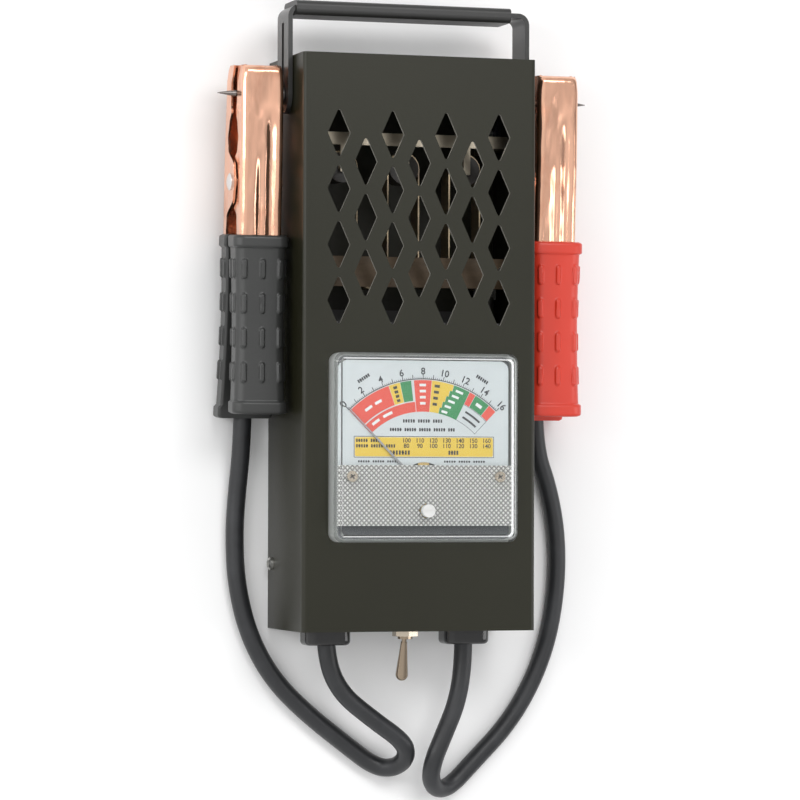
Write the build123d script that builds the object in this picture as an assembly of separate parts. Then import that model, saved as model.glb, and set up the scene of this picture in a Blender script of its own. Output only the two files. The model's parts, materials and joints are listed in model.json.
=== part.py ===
"""Hand-held battery load tester: sheet-steel case, panel meter, heater-ribbon load, two clamp leads.

The tester lies on its back. X runs across the case, +Y towards the carrying handle and +Z out of the
front face. The origin is the middle of the flat back face. All sizes are in millimetres.
"""
from build123d import *
import math
import os

# ------------------------------------------------------------------ driving dimensions
CASE_W, CASE_H, CASE_T = 105.0, 247.0, 53.0
SHEET = 1.2
BEND_R = 2.0
SEAM_GAP = 0.15                          # between the cover's sides and the chassis inside them

VENT_W, VENT_H = 10.2, 22.4              # one diamond, tip to tip before its corners are rounded
VENT_PITCH_X, VENT_PITCH_Y = 24.1, 23.8
VENT_MIDDLE_X = -0.6
VENT_TOP_Y = 89.2                        # middle of the top row
VENT_ROWS, VENT_COLUMNS = 4, 4

SCREW_Y, SCREW_Z = 95.3, 6.0             # case screws, two on each side
HANDLE_PIVOT_Y, HANDLE_PIVOT_Z = 107.0, 29.0
STRAP_W, STRAP_T = 16.5, 2.0
STRAP_IN = CASE_W / 2 + 0.4              # inner face of each handle leg
STRAP_OUT = STRAP_IN + STRAP_T
HANDLE_TOP_Y = 145.3
PEG_R, PEG_TIP_X = 1.5, 84.0
PIVOT_R = 2.5
RUN_GAP = 0.05                           # radial clearance of a turning fit

METER_W, METER_H, METER_Y = 82.3, 80.6, -44.9
LENS_H, LENS_WALL = 11.0, 1.7
MOVEMENT_Y = -62.8                       # the pointer's axis crosses the case here
DIAL_TOP_Y = -7.6
POINTER_L = 49.0
POINTER_REST_DEG, POINTER_SWEEP_DEG = 44.5, 88.0

SWITCH_Z = 32.5
LEVER_L, LEVER_LEAN_DEG = 23.8, 12.0
SWITCH_PIVOT_Y = -CASE_H / 2 + 1.0

LEAD_D = 8.0
GLAND_X, GLAND_Z = 31.7, 18.0
GLAND_IN_Y = -119.0

CLAMP_X = {"black": -66.6, "red": 67.8}
CLAMP_PEG_L = 38.0                       # rivet to the point where the jaws bite the peg
CLAMP_TILT_DEG = 3.73
UPPER_HALF, LOWER_HALF, ARM_T = 9.3, 10.75, 1.1
GRIP_HALF, GRIP_FRONT, GRIP_BACK = 12.2, -22.5, -99.0
GRIP_BACK_LOWER = -102.0
RIVET_R = 3.0

FRONT_IN = CASE_T - SHEET                # inner face of the front panel
CHASSIS_HALF = CASE_W / 2 - SHEET - SEAM_GAP
BOTTOM_Y, TOP_Y = -CASE_H / 2, CASE_H / 2

RIVET_Y = HANDLE_PIVOT_Y - CLAMP_PEG_L * math.cos(math.radians(CLAMP_TILT_DEG))
RIVET_Z = HANDLE_PIVOT_Z - CLAMP_PEG_L * math.sin(math.radians(CLAMP_TILT_DEG))


# ------------------------------------------------------------------ small helpers
def block(x0, x1, y0, y1, z0, z1):
    """A box between two corners."""
    return Pos((x0 + x1) / 2, (y0 + y1) / 2, (z0 + z1) / 2) * Box(x1 - x0, y1 - y0, z1 - z0)


def rod(start, direction, length, radius, radius_2=None):
    """A cylinder, or a cone when radius_2 is given, from start along direction."""
    base = Plane(origin=start, z_dir=direction)
    low = (Align.CENTER, Align.CENTER, Align.MIN)
    if radius_2 is None:
        return base * Cylinder(radius, length, align=low)
    return base * Cone(radius, radius_2, length, align=low)


def hexagon(start, direction, thickness, across_flats):
    """A hexagonal nut's outer body."""
    base = Plane(origin=start, z_dir=direction)
    return extrude(base * RegularPolygon(across_flats / math.sqrt(3), 6), amount=thickness)


def side_profile(points, half_width):
    """A closed outline in the YZ plane, thickened to both sides of X = 0."""
    outline = Plane.YZ * Polygon(*points, align=None)
    return extrude(outline, amount=half_width, both=True)


def end_plane(x, y, z):
    """A sketch plane parallel to the bottom end panel: local X across the case, local Y up, facing -Y."""
    return Plane(origin=(x, y, z), x_dir=(1, 0, 0), z_dir=(0, -1, 0))


def rounded_plate(width, height, radius, centre, z0, z1):
    """A plate with rounded corners, parallel to the front panel."""
    face = RectangleRounded(width, height, radius)
    return Pos(centre[0], centre[1], z0) * extrude(face, amount=z1 - z0)


def both_sides(make):
    """The piece that make(side) gives for the left and for the right."""
    return [make(-1), make(1)]


def save(name, *shapes):
    """Write the solids of one node."""
    solids = [solid for shape in shapes for solid in shape.solids()]
    whole = solids[0] if len(solids) == 1 else Compound(children=solids)
    export_step(whole, os.path.join("parts", name + ".step"))


def cord(name, points, diameter):
    """A tube along straight runs joined by arcs as large as the runs allow."""
    route = [Vector(*p) for p in points]
    radii = []
    for before, corner, after in zip(route, route[1:], route[2:]):
        turn = math.radians((corner - before).get_angle(after - corner))
        shorter = min((corner - before).length, (after - corner).length)
        radii.append(0.45 * shorter / math.tan(turn / 2))
    path = FilletPolyline(*route, radius=radii)
    section = Plane(origin=path @ 0, z_dir=path % 0) * Circle(diameter / 2)
    tube = sweep(section, path=path)
    share = tube.volume / (math.pi * diameter ** 2 / 4 * path.length)
    print(f"{name}: length {path.length:.1f}, volume share {share:.4f}, radii",
          " ".join(f"{r:.1f}" for r in radii))
    return tube


# ------------------------------------------------------------------ case
def vent_centres():
    """Four rows of four diamonds, with three rows of three set between them."""
    centres = []
    for row in range(VENT_ROWS):
        for column in range(VENT_COLUMNS):
            x = VENT_MIDDLE_X + (column - (VENT_COLUMNS - 1) / 2) * VENT_PITCH_X
            centres.append((x, VENT_TOP_Y - row * VENT_PITCH_Y))
    for row in range(VENT_ROWS - 1):
        for column in range(VENT_COLUMNS - 1):
            x = VENT_MIDDLE_X + (column - (VENT_COLUMNS - 2) / 2) * VENT_PITCH_X
            centres.append((x, VENT_TOP_Y - (row + 0.5) * VENT_PITCH_Y))
    return centres


def front_cover():
    """Front panel and both sides, bent from one sheet."""
    shell = block(-CASE_W / 2, CASE_W / 2, BOTTOM_Y, TOP_Y, 0, CASE_T)
    bends = shell.edges().filter_by(Axis.Y).group_by(Axis.Z)[-1]
    shell = fillet(bends, BEND_R)
    inside = block(-CASE_W / 2 + SHEET, CASE_W / 2 - SHEET, BOTTOM_Y - 1, TOP_Y + 1, -1, FRONT_IN)
    inside = fillet(inside.edges().filter_by(Axis.Y).group_by(Axis.Z)[-1], BEND_R - SHEET)
    shell -= inside
    diamond = Polygon((0, VENT_H / 2), (-VENT_W / 2, 0), (0, -VENT_H / 2), (VENT_W / 2, 0))
    diamond = fillet(diamond.vertices(), 0.9)
    for x, y in vent_centres():
        shell -= Pos(x, y, FRONT_IN - 1) * extrude(diamond, amount=SHEET + 2)
    shell -= block(-32.5, 32.5, -79.5, -20.5, FRONT_IN - 1, CASE_T + 1)
    for side in (-1, 1):
        outside = side * (CASE_W / 2 + 1)
        for y in (-SCREW_Y, SCREW_Y):
            shell -= rod((outside, y, SCREW_Z), (-side, 0, 0), 4, 1.6)
        shell -= rod((outside, HANDLE_PIVOT_Y, HANDLE_PIVOT_Z), (-side, 0, 0), 4, PIVOT_R + 0.1)
    return shell


def rear_chassis():
    """Back panel with the two end panels and four screw tabs, bent from one sheet."""
    end_top = FRONT_IN - 0.5
    shell = block(-CHASSIS_HALF, CHASSIS_HALF, BOTTOM_Y, TOP_Y, 0, SHEET)
    shell += block(-CHASSIS_HALF, CHASSIS_HALF, BOTTOM_Y, BOTTOM_Y + SHEET, 0, end_top)
    shell += block(-CHASSIS_HALF, CHASSIS_HALF, TOP_Y - SHEET, TOP_Y, 0, end_top)
    for side in (-1, 1):
        for y in (-SCREW_Y, SCREW_Y):
            inner, outer = sorted((side * (CHASSIS_HALF - SHEET), side * CHASSIS_HALF))
            tab = block(inner, outer, y - 9, y + 9, 0, 14)
            shell += tab - rod((side * 60, y, SCREW_Z), (-side, 0, 0), 14, 1.6)
        hole = end_plane(side * GLAND_X, BOTTOM_Y + SHEET + 1, GLAND_Z) * RectangleRounded(14.4, 10.4, 3)
        shell -= extrude(hole, amount=SHEET + 2)
    shell -= rod((0, BOTTOM_Y - 1, SWITCH_Z), (0, 1, 0), SHEET + 2, 3.3)
    return shell


def case_screw(side, y):
    """Pan-head screw through the cover and the chassis tab."""
    head = rod((side * CASE_W / 2, y, SCREW_Z), (side, 0, 0), 1.1, 2.75)
    head += rod((side * (CASE_W / 2 + 1.1), y, SCREW_Z), (side, 0, 0), 0.8, 2.75, 1.5)
    shank = rod((side * CASE_W / 2, y, SCREW_Z), (-side, 0, 0), 6, 1.5)
    slot_x = side * (CASE_W / 2 + 1.9)
    slot = Pos(slot_x, y, SCREW_Z) * (Box(1.6, 3.4, 0.7) + Box(1.6, 0.7, 3.4))
    return head + shank - slot


def clip_nut(side, y):
    """Flat spring nut behind the tab."""
    x0, x1 = sorted((side * (CHASSIS_HALF - SHEET), side * (CHASSIS_HALF - SHEET - 1.2)))
    return block(x0, x1, y - 5, y + 5, SCREW_Z - 4, SCREW_Z + 5) - rod((0, y, SCREW_Z), (side, 0, 0), 60, 1.5)


# ------------------------------------------------------------------ handle and side pegs
def handle_strap():
    """Steel strap bent into a U, with a pressed groove down each leg."""
    foot_y = HANDLE_PIVOT_Y - STRAP_W / 2
    z0, z1 = HANDLE_PIVOT_Z - STRAP_W / 2, HANDLE_PIVOT_Z + STRAP_W / 2
    outer = block(-STRAP_OUT, STRAP_OUT, foot_y, HANDLE_TOP_Y, z0, z1)
    outer = fillet(outer.edges().filter_by(Axis.Z).group_by(Axis.Y)[-1], 5)
    inner = block(-STRAP_IN, STRAP_IN, foot_y - 1, HANDLE_TOP_Y - STRAP_T, z0 - 1, z1 + 1)
    inner = fillet(inner.edges().filter_by(Axis.Z).group_by(Axis.Y)[-1], 3)
    strap = outer - inner
    keep = rod((-60, HANDLE_PIVOT_Y, HANDLE_PIVOT_Z), (1, 0, 0), 120, STRAP_W / 2)
    keep += block(-60, 60, HANDLE_PIVOT_Y, HANDLE_TOP_Y + 1, z0, z1)
    strap &= keep
    strap -= rod((-60, HANDLE_PIVOT_Y, HANDLE_PIVOT_Z), (1, 0, 0), 120, PIVOT_R + RUN_GAP)
    for side in (-1, 1):
        x = side * STRAP_OUT
        groove = Box(1.2, 22, 3.2) + Pos(0, -11, 0) * Rot(45, 0, 0) * Box(1.2, 2.26, 2.26)
        strap -= Pos(x, 127, HANDLE_PIVOT_Z) * groove
    return strap


def handle_grip(strap):
    """Moulded sleeve on the top bar."""
    sleeve = block(-51.5, 46.0, 140.9, 147.3, HANDLE_PIVOT_Z - 9.9, HANDLE_PIVOT_Z + 9.9)
    sleeve = fillet(sleeve.edges().filter_by(Axis.X), 2.4)
    return sleeve - strap


def side_peg(side):
    """Turned steel pin: handle pivot, collar and pointed peg in one piece."""
    at_strap = STRAP_OUT + 0.3
    out = (side, 0, 0)

    def at(x):
        return (side * x, HANDLE_PIVOT_Y, HANDLE_PIVOT_Z)

    peg = rod(at(at_strap), out, 0.6, 4.2)
    peg += rod(at(at_strap), out, PEG_TIP_X - at_strap - 8, PEG_R)
    peg += rod(at(PEG_TIP_X - 8), out, 8, PEG_R, 0.15)
    peg += rod(at(CHASSIS_HALF - 0.2), out, at_strap - CHASSIS_HALF + 0.2, PIVOT_R)
    peg += rod(at(CHASSIS_HALF - 0.2), (-side, 0, 0), 7.0, 2.0)
    return peg


def peg_washer(side):
    """Plain washer between the cover's side and the peg nut."""
    start = (side * (CASE_W / 2 - SHEET), HANDLE_PIVOT_Y, HANDLE_PIVOT_Z)
    return rod(start, (-side, 0, 0), 0.8, 5.0) - rod(start, (-side, 0, 0), 1, PIVOT_R)


def peg_nut(side):
    """Hexagon nut inside the case."""
    start = (side * (CASE_W / 2 - SHEET - 0.8), HANDLE_PIVOT_Y, HANDLE_PIVOT_Z)
    hole = rod((side * 60, HANDLE_PIVOT_Y, HANDLE_PIVOT_Z), (-side, 0, 0), 20, 2.0)
    return hexagon(start, (-side, 0, 0), 3.2, 7.0) - hole - side_peg(side)


# ------------------------------------------------------------------ panel meter
DIAL_Z = CASE_T + 4.0
POINTER_Z = CASE_T + 5.4
MASK_Z = CASE_T + 6.4
METER_SCREWS = ((-33.2, -57.2), (33.2, -57.2))
ADJUSTER_Y = -71.8


def meter_base():
    """Black moulded housing: flange outside the panel, box inside it, two dial posts."""
    back = CASE_T - 24
    flange_w, flange_h = METER_W - 2 * LENS_WALL - 0.4, METER_H - 2 * LENS_WALL - 0.4
    base = rounded_plate(flange_w, flange_h, 2.8, (0, METER_Y), CASE_T, CASE_T + 2.2)
    base += rounded_plate(64, 58, 2, (0, -50), back, CASE_T + 1)
    base -= rounded_plate(60.4, 54.4, 1.5, (0, -50), back + 1.8, CASE_T + 5)
    for x, y in METER_SCREWS:
        base += rod((x, y, CASE_T + 2), (0, 0, 1), 2.0, 3)
        base -= rod((x, y, CASE_T + 0.5), (0, 0, 1), 5, 1.2)
    for x in (-22, 22):
        base -= rod((x, -38, back - 1), (0, 0, 1), 5, 2.0)
    return base


def meter_lens():
    """Clear cover with a bevelled rim."""
    lens = rounded_plate(METER_W, METER_H, 4, (0, METER_Y), CASE_T, CASE_T + LENS_H)
    lens = chamfer(lens.edges().group_by(Axis.Z)[-1], 2.2)
    hollow = rounded_plate(METER_W - 2 * LENS_WALL, METER_H - 2 * LENS_WALL, 3,
                           (0, METER_Y), CASE_T - 1, CASE_T + LENS_H - LENS_WALL)
    hollow = chamfer(hollow.edges().group_by(Axis.Z)[-1], 1.5)
    lens -= hollow
    return lens - rod((0, ADJUSTER_Y, CASE_T), (0, 0, 1), LENS_H + 2, 2.0 + RUN_GAP)


def dial_plate():
    """Printed dial sheet, cut away round the moving coil."""
    low = -60.5
    plate = block(-38, 38, low, DIAL_TOP_Y, DIAL_Z, DIAL_Z + 0.8)
    plate = fillet(plate.edges().filter_by(Axis.Z).group_by(Axis.Y)[-1], 4)
    plate -= rod((0, MOVEMENT_Y, DIAL_Z - 1), (0, 0, 1), 3, 11.7)
    for x, y in METER_SCREWS:
        plate -= rod((x, y, DIAL_Z - 1), (0, 0, 1), 3, 1.25)
    return plate


def meter_mask():
    """Knurled plate over the movement, on two bosses."""
    mask = rounded_plate(78, 25.8, 1.5, (0, -65.3), MASK_Z, MASK_Z + 1.2)
    for x, y in METER_SCREWS:
        mask += rod((x, y, DIAL_Z + 0.8), (0, 0, 1), MASK_Z - DIAL_Z - 0.8, 3)
        mask -= rod((x, y, DIAL_Z), (0, 0, 1), 6, 1.25)
    return mask - rod((0, ADJUSTER_Y, MASK_Z - 1), (0, 0, 1), 4, 3.2)


def dial_screw(x, y):
    """Cheese-head screw that holds the mask and the dial to the base."""
    top = MASK_Z + 1.2
    screw = rod((x, y, top), (0, 0, 1), 1.2, 2.3) + rod((x, y, CASE_T + 0.6), (0, 0, 1), top - CASE_T - 0.6, 1.2)
    return screw - Pos(x, y, top + 1.2) * Box(5, 0.6, 0.9)


def zero_adjuster():
    """Slotted plastic screw through the lens, with a collar and an eccentric pin."""
    top = CASE_T + LENS_H
    screw = rod((0, ADJUSTER_Y, top + 0.3), (0, 0, 1), 1.1, 2.8)
    screw += rod((0, ADJUSTER_Y, CASE_T + 8.4), (0, 0, 1), LENS_H - 8.4 + 0.4, 2.0)
    screw += rod((0, ADJUSTER_Y, CASE_T + 8.4), (0, 0, 1), 0.5, 2.6)
    screw += rod((0, ADJUSTER_Y + 1.2, CASE_T + 7.0), (0, 0, 1), 1.6, 0.5)
    return screw - Pos(0, ADJUSTER_Y, top + 1.4) * Box(6, 0.7, 1.0)


def movement_axis(z):
    return (0, MOVEMENT_Y, z)


def magnet_ring():
    """Soft-iron ring with two pole wings."""
    z0 = CASE_T - 11
    ring = rod(movement_axis(z0), (0, 0, 1), 10, 13.5) + block(-15, 15, MOVEMENT_Y - 6, MOVEMENT_Y + 6, z0, z0 + 10)
    return ring - rod(movement_axis(z0 - 1), (0, 0, 1), 12, 9)


def magnet(side):
    """One bar magnet, from the housing floor to the pole wing."""
    x0, x1 = sorted((side * 15, side * 23))
    return block(x0, x1, MOVEMENT_Y - 6, MOVEMENT_Y + 6, CASE_T - 22.2, CASE_T - 1)


def coil_core():
    """Iron core in the middle of the ring, held by two small tabs."""
    core = rod(movement_axis(CASE_T - 11), (0, 0, 1), 10, 5.6)
    return core + block(-1.2, 1.2, MOVEMENT_Y - 8.9, MOVEMENT_Y + 8.9, CASE_T - 7, CASE_T - 5)


def movement_bridge(z0, z1):
    """Bar across the movement that carries one end of the pivot staff, on two posts."""
    bar = block(-2.5, 2.5, MOVEMENT_Y - 13, MOVEMENT_Y + 13, z0, z1)
    ring_low, ring_high = CASE_T - 11, CASE_T - 1
    for y in (MOVEMENT_Y - 11.3, MOVEMENT_Y + 11.3):
        if z0 > ring_high:
            bar += rod((0, y, ring_high), (0, 0, 1), z0 - ring_high, 1.2)
        else:
            bar += rod((0, y, z1), (0, 0, 1), ring_low - z1, 1.2)
    return bar - rod(movement_axis(z0 - 1), (0, 0, 1), z1 - z0 + 2, 0.5 + RUN_GAP)


def at_rest_angle(shape):
    """Turn a movement piece that was drawn at 12 o'clock to the pointer's rest angle."""
    return Pos(0, MOVEMENT_Y, 0) * Rot(0, 0, POINTER_REST_DEG) * shape


def pointer():
    """Thin blade with a balance tail."""
    blade = Polygon((-0.6, -9), (0.6, -9), (0.45, 20), (0.2, POINTER_L), (-0.2, POINTER_L), (-0.45, 20), align=None)
    return at_rest_angle(Pos(0, 0, POINTER_Z) * extrude(blade, amount=0.35))


def pointer_staff():
    """Hub and the two half staffs above and below the coil."""
    upper = rod((0, 0, CASE_T + 1.0), (0, 0, 1), POINTER_Z - CASE_T - 1.0, 0.5)
    upper += rod((0, 0, POINTER_Z - 0.5), (0, 0, 1), 0.5, 1.6)
    lower = rod((0, 0, CASE_T - 18.5), (0, 0, 1), 5.5, 0.5)
    return [at_rest_angle(upper), at_rest_angle(lower)]


def moving_coil():
    """Rectangular winding round the core, square to the pointer."""
    outer = block(-7.6, 7.6, -2.5, 2.5, CASE_T - 13, CASE_T + 1)
    return at_rest_angle(outer - block(-6.8, 6.8, -3, 3, CASE_T - 12.2, CASE_T + 0.2))


def hairspring():
    """Flat spiral of half rings round the upper staff."""
    strip, pitch, first = 0.15, 0.45, 1.2
    spiral = None
    for turn in range(12):
        radius = first + turn * pitch / 2
        middle = (turn % 2) * pitch / 2
        ring = Pos(middle, 0) * (Circle(radius + strip / 2) - Circle(radius - strip / 2))
        keep_y = 10 if turn % 2 == 0 else -10
        half = ring & (Pos(0, keep_y) * Rectangle(40, 20))
        spiral = half if spiral is None else spiral + half
    return Pos(0, MOVEMENT_Y, CASE_T + 1.5) * extrude(spiral, amount=0.6)


def meter_studs():
    """Two brass terminal studs behind the meter."""
    return [rod((x, -38, CASE_T - 22.2), (0, 0, -1), 11, 2.0) + rod((x, -38, CASE_T - 22.2), (0, 0, 1), 1.6, 3.4)
            for x in (-22, 22)]


def meter_nuts():
    """Two nuts on each stud: one holds the bracket, one the ring terminal."""
    nuts = []
    for x in (-22, 22):
        hole = rod((x, -38, CASE_T), (0, 0, -1), 40, 2.0)
        for z in (CASE_T - 25.5, CASE_T - 29.5):
            nuts.append(hexagon((x, -38, z), (0, 0, -1), 2.6, 7) - hole)
    return nuts


def meter_bracket():
    """U-shaped strap that pulls the meter against the panel."""
    z0 = CASE_T - 25.5
    bracket = block(-36, 36, -44, -32, z0, z0 + 1.5)
    bracket += block(-36, -34.5, -44, -32, z0, FRONT_IN) + block(34.5, 36, -44, -32, z0, FRONT_IN)
    for x in (-22, 22):
        bracket -= rod((x, -38, z0 - 1), (0, 0, 1), 4, 2.0)
    return bracket


# ------------------------------------------------------------------ test switch
def switch_bushing():
    """Threaded barrel with a flared bore for the lever."""
    barrel = rod((0, BOTTOM_Y + SHEET, SWITCH_Z), (0, -1, 0), 5.2, 3.2)
    low = (0, BOTTOM_Y + SHEET, SWITCH_Z)
    return barrel - rod(low, (0, -1, 0), 5.2, 2.0, 2.8)


def switch_body():
    """Moulded switch body inside the case, with a recess for the lever's ball."""
    y0 = BOTTOM_Y + SHEET
    body = block(-6.5, 6.5, y0, y0 + 17, SWITCH_Z - 10.5, SWITCH_Z + 10.5)
    body = fillet(body.edges().filter_by(Axis.Y), 1.0)
    return body - rod((0, y0 - 0.1, SWITCH_Z), (0, 1, 0), 4.0, 2.6)


def switch_nut():
    """Hexagon nut outside the end panel."""
    nut = hexagon((0, BOTTOM_Y - 0.6, SWITCH_Z), (0, -1, 0), 2.2, 9.8)
    return nut - rod((0, BOTTOM_Y, SWITCH_Z), (0, -1, 0), 5, 3.2)


def switch_washer():
    """Washer under the nut."""
    start = (0, BOTTOM_Y, SWITCH_Z)
    return rod(start, (0, -1, 0), 0.6, 5.2) - rod(start, (0, -1, 0), 1, 3.2)


def switch_lever():
    """Bat-handle lever with a ball at its pivot, leaning back at rest."""
    ball = Sphere(1.65)
    neck = rod((0, 0, 0), (0, -1, 0), 7, 1.05)
    bat = rod((0, -6.5, 0), (0, -1, 0), LEVER_L - 6.5 - 2.7, 1.35, 2.7)
    tip = Pos(0, -(LEVER_L - 2.7), 0) * Sphere(2.7)
    tail = rod((0, 0, 0), (0, 1, 0), 2.4, 0.9)
    lever = ball + neck + bat + tip + tail
    return Pos(0, SWITCH_PIVOT_Y, SWITCH_Z) * Rot(LEVER_LEAN_DEG, 0, 0) * lever


def switch_terminals():
    """Three lugs on the inner end of the switch."""
    y = BOTTOM_Y + SHEET + 17
    return [block(-2.5, 2.5, y, y + 6, z - 0.4, z + 0.4) for z in (SWITCH_Z - 6, SWITCH_Z, SWITCH_Z + 6)]


# ------------------------------------------------------------------ heater-ribbon load
RIBBON_PITCH, RIBBON_T, RIBBON_W = 14.0, 0.6, 10.0
RIBBON_X0, RIBBON_Z = -37.0, 24.5
RIBBON_TOP_Y, RIBBON_LOW_Y = 76.0, 31.0      # centres of the bends
STUD_X = 42.0


def ribbon_x(index):
    return RIBBON_X0 + index * RIBBON_PITCH


def bend_centre(index):
    """Middle of the bend between two neighbouring strips."""
    y = RIBBON_TOP_Y if index % 2 == 0 else RIBBON_LOW_Y
    return ribbon_x(index) + RIBBON_PITCH / 2, y


def resistor_ribbon():
    """Six strips in one serpentine, with a tab to each load stud."""
    half = RIBBON_PITCH / 2
    flat = None
    for index in range(6):
        x = ribbon_x(index)
        strip = Pos(x, (RIBBON_TOP_Y + RIBBON_LOW_Y) / 2) * Rectangle(RIBBON_T, RIBBON_TOP_Y - RIBBON_LOW_Y)
        flat = strip if flat is None else flat + strip
    for index in range(5):
        x, y = bend_centre(index)
        ring = Circle(half + RIBBON_T / 2) - Circle(half - RIBBON_T / 2)
        away = half + 1 if index % 2 == 0 else -(half + 1)
        flat += Pos(x, y) * (ring & (Pos(0, away) * Rectangle(4 * half, 2 * (half + 1))))
    for side in (-1, 1):
        x0, x1 = sorted((ribbon_x(0) if side < 0 else ribbon_x(5), side * STUD_X))
        flat += Pos((x0 + x1) / 2, RIBBON_LOW_Y) * Rectangle(x1 - x0, RIBBON_T)
    ribbon = Pos(0, 0, RIBBON_Z) * extrude(flat, amount=RIBBON_W)
    for side in (-1, 1):
        ribbon -= load_stud(side)
    return ribbon


def load_stud(side):
    """Brass column from the back panel to the terminal board; it carries the load current."""
    stud = rod((side * STUD_X, RIBBON_LOW_Y, SHEET), (0, 0, 1), 3, 6)
    return stud + rod((side * STUD_X, RIBBON_LOW_Y, SHEET), (0, 0, 1), 37 - SHEET, 3)


def terminal_board():
    """Phenolic board in front of the ribbon's lower bends, with pins for the beads."""
    board = block(-46.5, 46.5, 24.5, 37.5, 37, 39.5)
    for index in (1, 3):
        x, y = bend_centre(index)
        board += rod((x, y, RIBBON_Z - 1), (0, 0, 1), 38 - RIBBON_Z, 1.9)
    for side in (-1, 1):
        board -= rod((side * STUD_X, RIBBON_LOW_Y, 36), (0, 0, 1), 5, 1.6)
    return board


def board_screws():
    """Two screws into the load studs."""
    screws = []
    for side in (-1, 1):
        screw = rod((side * STUD_X, RIBBON_LOW_Y, 39.5), (0, 0, 1), 1.8, 3.2)
        screw += rod((side * STUD_X, RIBBON_LOW_Y, 37), (0, 0, 1), 2.5, 1.6)
        screws.append(screw - Pos(side * STUD_X, RIBBON_LOW_Y, 41.3) * Box(7, 0.8, 1))
    return screws


def support_bar():
    """Nickelled bar over the upper bends, on two legs, with pins for the beads."""
    bar = block(-47, 47, 85.6, 91, 36, 38)
    for side in (-1, 1):
        x0, x1 = sorted((side * 42, side * 47))
        bar += block(x0, x1, 85.6, 91, SHEET, 36)
    for index in (0, 2, 4):
        x, y = bend_centre(index)
        bar += block(x - 1.5, x + 1.5, y - 2, 86, 36, 38)
        bar += rod((x, y, RIBBON_Z - 1), (0, 0, 1), 37 - RIBBON_Z, 1.9)
    return bar


def ceramic_beads():
    """A ceramic bead inside each bend of the ribbon."""
    beads = []
    for index in range(5):
        x, y = bend_centre(index)
        bead = rod((x, y, RIBBON_Z), (0, 0, 1), RIBBON_W + 1.2, RIBBON_PITCH / 2 - RIBBON_T / 2 - 0.1)
        beads.append(bead - rod((x, y, RIBBON_Z - 1), (0, 0, 1), RIBBON_W + 4, 1.9))
    return beads


def heat_shield():
    """Bent sheet between the heater and the meter, with holes for the leads and the meter wires."""
    shield = block(-49, 49, 8, 9, SHEET, 50) + block(-49, 49, 9, 16, SHEET, SHEET + 1)
    for side in (-1, 1):
        shield -= rod((side * 43.4, 7, 12), (0, 1, 0), 4, LEAD_D / 2 + 0.7)
        shield -= rod((side * 37, 7, 19), (0, 1, 0), 4, 1.4)
    return shield


# ------------------------------------------------------------------ leads
def gland(side):
    """Moulded strain relief, snapped into the end panel, with the lead's bore through it."""
    def layer(y0, y1, width, height, radius):
        face = end_plane(side * GLAND_X, y0, GLAND_Z) * RectangleRounded(width, height, radius)
        return extrude(face, amount=y0 - y1)

    body = layer(BOTTOM_Y, BOTTOM_Y - 7.0, 20.4, 14.4, 4)
    body = fillet(body.edges().group_by(Axis.Y)[0], 2)
    body += layer(BOTTOM_Y + SHEET, BOTTOM_Y, 14, 10, 2.9)
    body += layer(GLAND_IN_Y, BOTTOM_Y + SHEET, 16.4, 11.6, 3)
    return body - rod((side * GLAND_X, GLAND_IN_Y + 1, GLAND_Z), (0, -1, 0), 20, LEAD_D / 2)


def clamp_point(colour, y, z):
    """A point in a clamp's own middle plane, in the tester's frame."""
    tilt = math.radians(CLAMP_TILT_DEG)
    return (CLAMP_X[colour], RIVET_Y + y * math.cos(tilt) - z * math.sin(tilt),
            RIVET_Z + y * math.sin(tilt) + z * math.cos(tilt))


LEAD_GRIP_Z = -11.5                      # the lead's height in the lower grip, in the clamp's plane
LEAD_END_Y = -94.0

BLACK_ROUTE = [
    (-GLAND_X, GLAND_IN_Y, GLAND_Z), (-31.7, -135, 18), (-25.5, -151, 19), (-10.5, -163, 20.3),
    (4.1, -173.2, 20), (6.6, -180.4, 15.2), (3, -185.2, 8.6), (-4.6, -184.8, 4.1),
    (-18, -174.8, 4.1), (-37, -160, 4.1), (-52, -145, 4.1), (-62.5, -126, 4.1),
    (-68, -104, 4.1), (-69, -82, 4.1), (-68, -65, 4.6), (-66.6, -44, 7.6),
    clamp_point("black", LEAD_END_Y, LEAD_GRIP_Z),
]
RED_ROUTE = [
    (GLAND_X, GLAND_IN_Y, GLAND_Z), (31.9, -136, 18), (29, -155, 19), (21.5, -171.5, 20),
    (17.5, -181, 19.6), (17.3, -189.5, 15.5), (22.3, -195, 9), (30.5, -194.2, 4.2),
    (41.5, -183, 4.1), (57, -167.5, 4.1), (68.5, -149.5, 4.1), (76.5, -129, 4.1),
    (80.3, -106, 4.1), (80.5, -84, 4.1), (76.5, -63, 4.7), (68.5, -44, 7.6),
    clamp_point("red", LEAD_END_Y, LEAD_GRIP_Z),
]


def lead_tail(name, side):
    """The lead inside the case, from the gland past the meter to its load stud."""
    points = [(side * GLAND_X, GLAND_IN_Y, GLAND_Z), (side * GLAND_X, -106, GLAND_Z), (side * 40.5, -91, 13.5),
              (side * 43.5, -70, 12), (side * 43.7, -40, 12.3), (side * 43.4, -12, 12), (side * 43.4, 14, 12)]
    return cord(name, points, LEAD_D)


def ring_terminal(side):
    """Crimped lug on the end of an inner lead, bolted round the load stud's foot."""
    x = side * 43.4
    barrel = rod((x, 14, 12), (0, 1, 0), 8, LEAD_D / 2)
    tongue = block(x - 5, x + 5, 21, 36, 11.4, 12.6)
    return barrel + tongue - rod((side * STUD_X, RIBBON_LOW_Y, 9), (0, 0, 1), 6, 3.0)


def meter_wire(name, side):
    """Thin wire from a meter stud back to the load stud."""
    points = [(side * 26.3, -37, 22.2), (side * 29, -29, 20.4), (side * 36, -18, 19), (side * 37, -2, 19),
              (side * 37, 16, 19), (side * 38.6, 28, 18.5)]
    return cord(name, points, 1.6)


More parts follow.
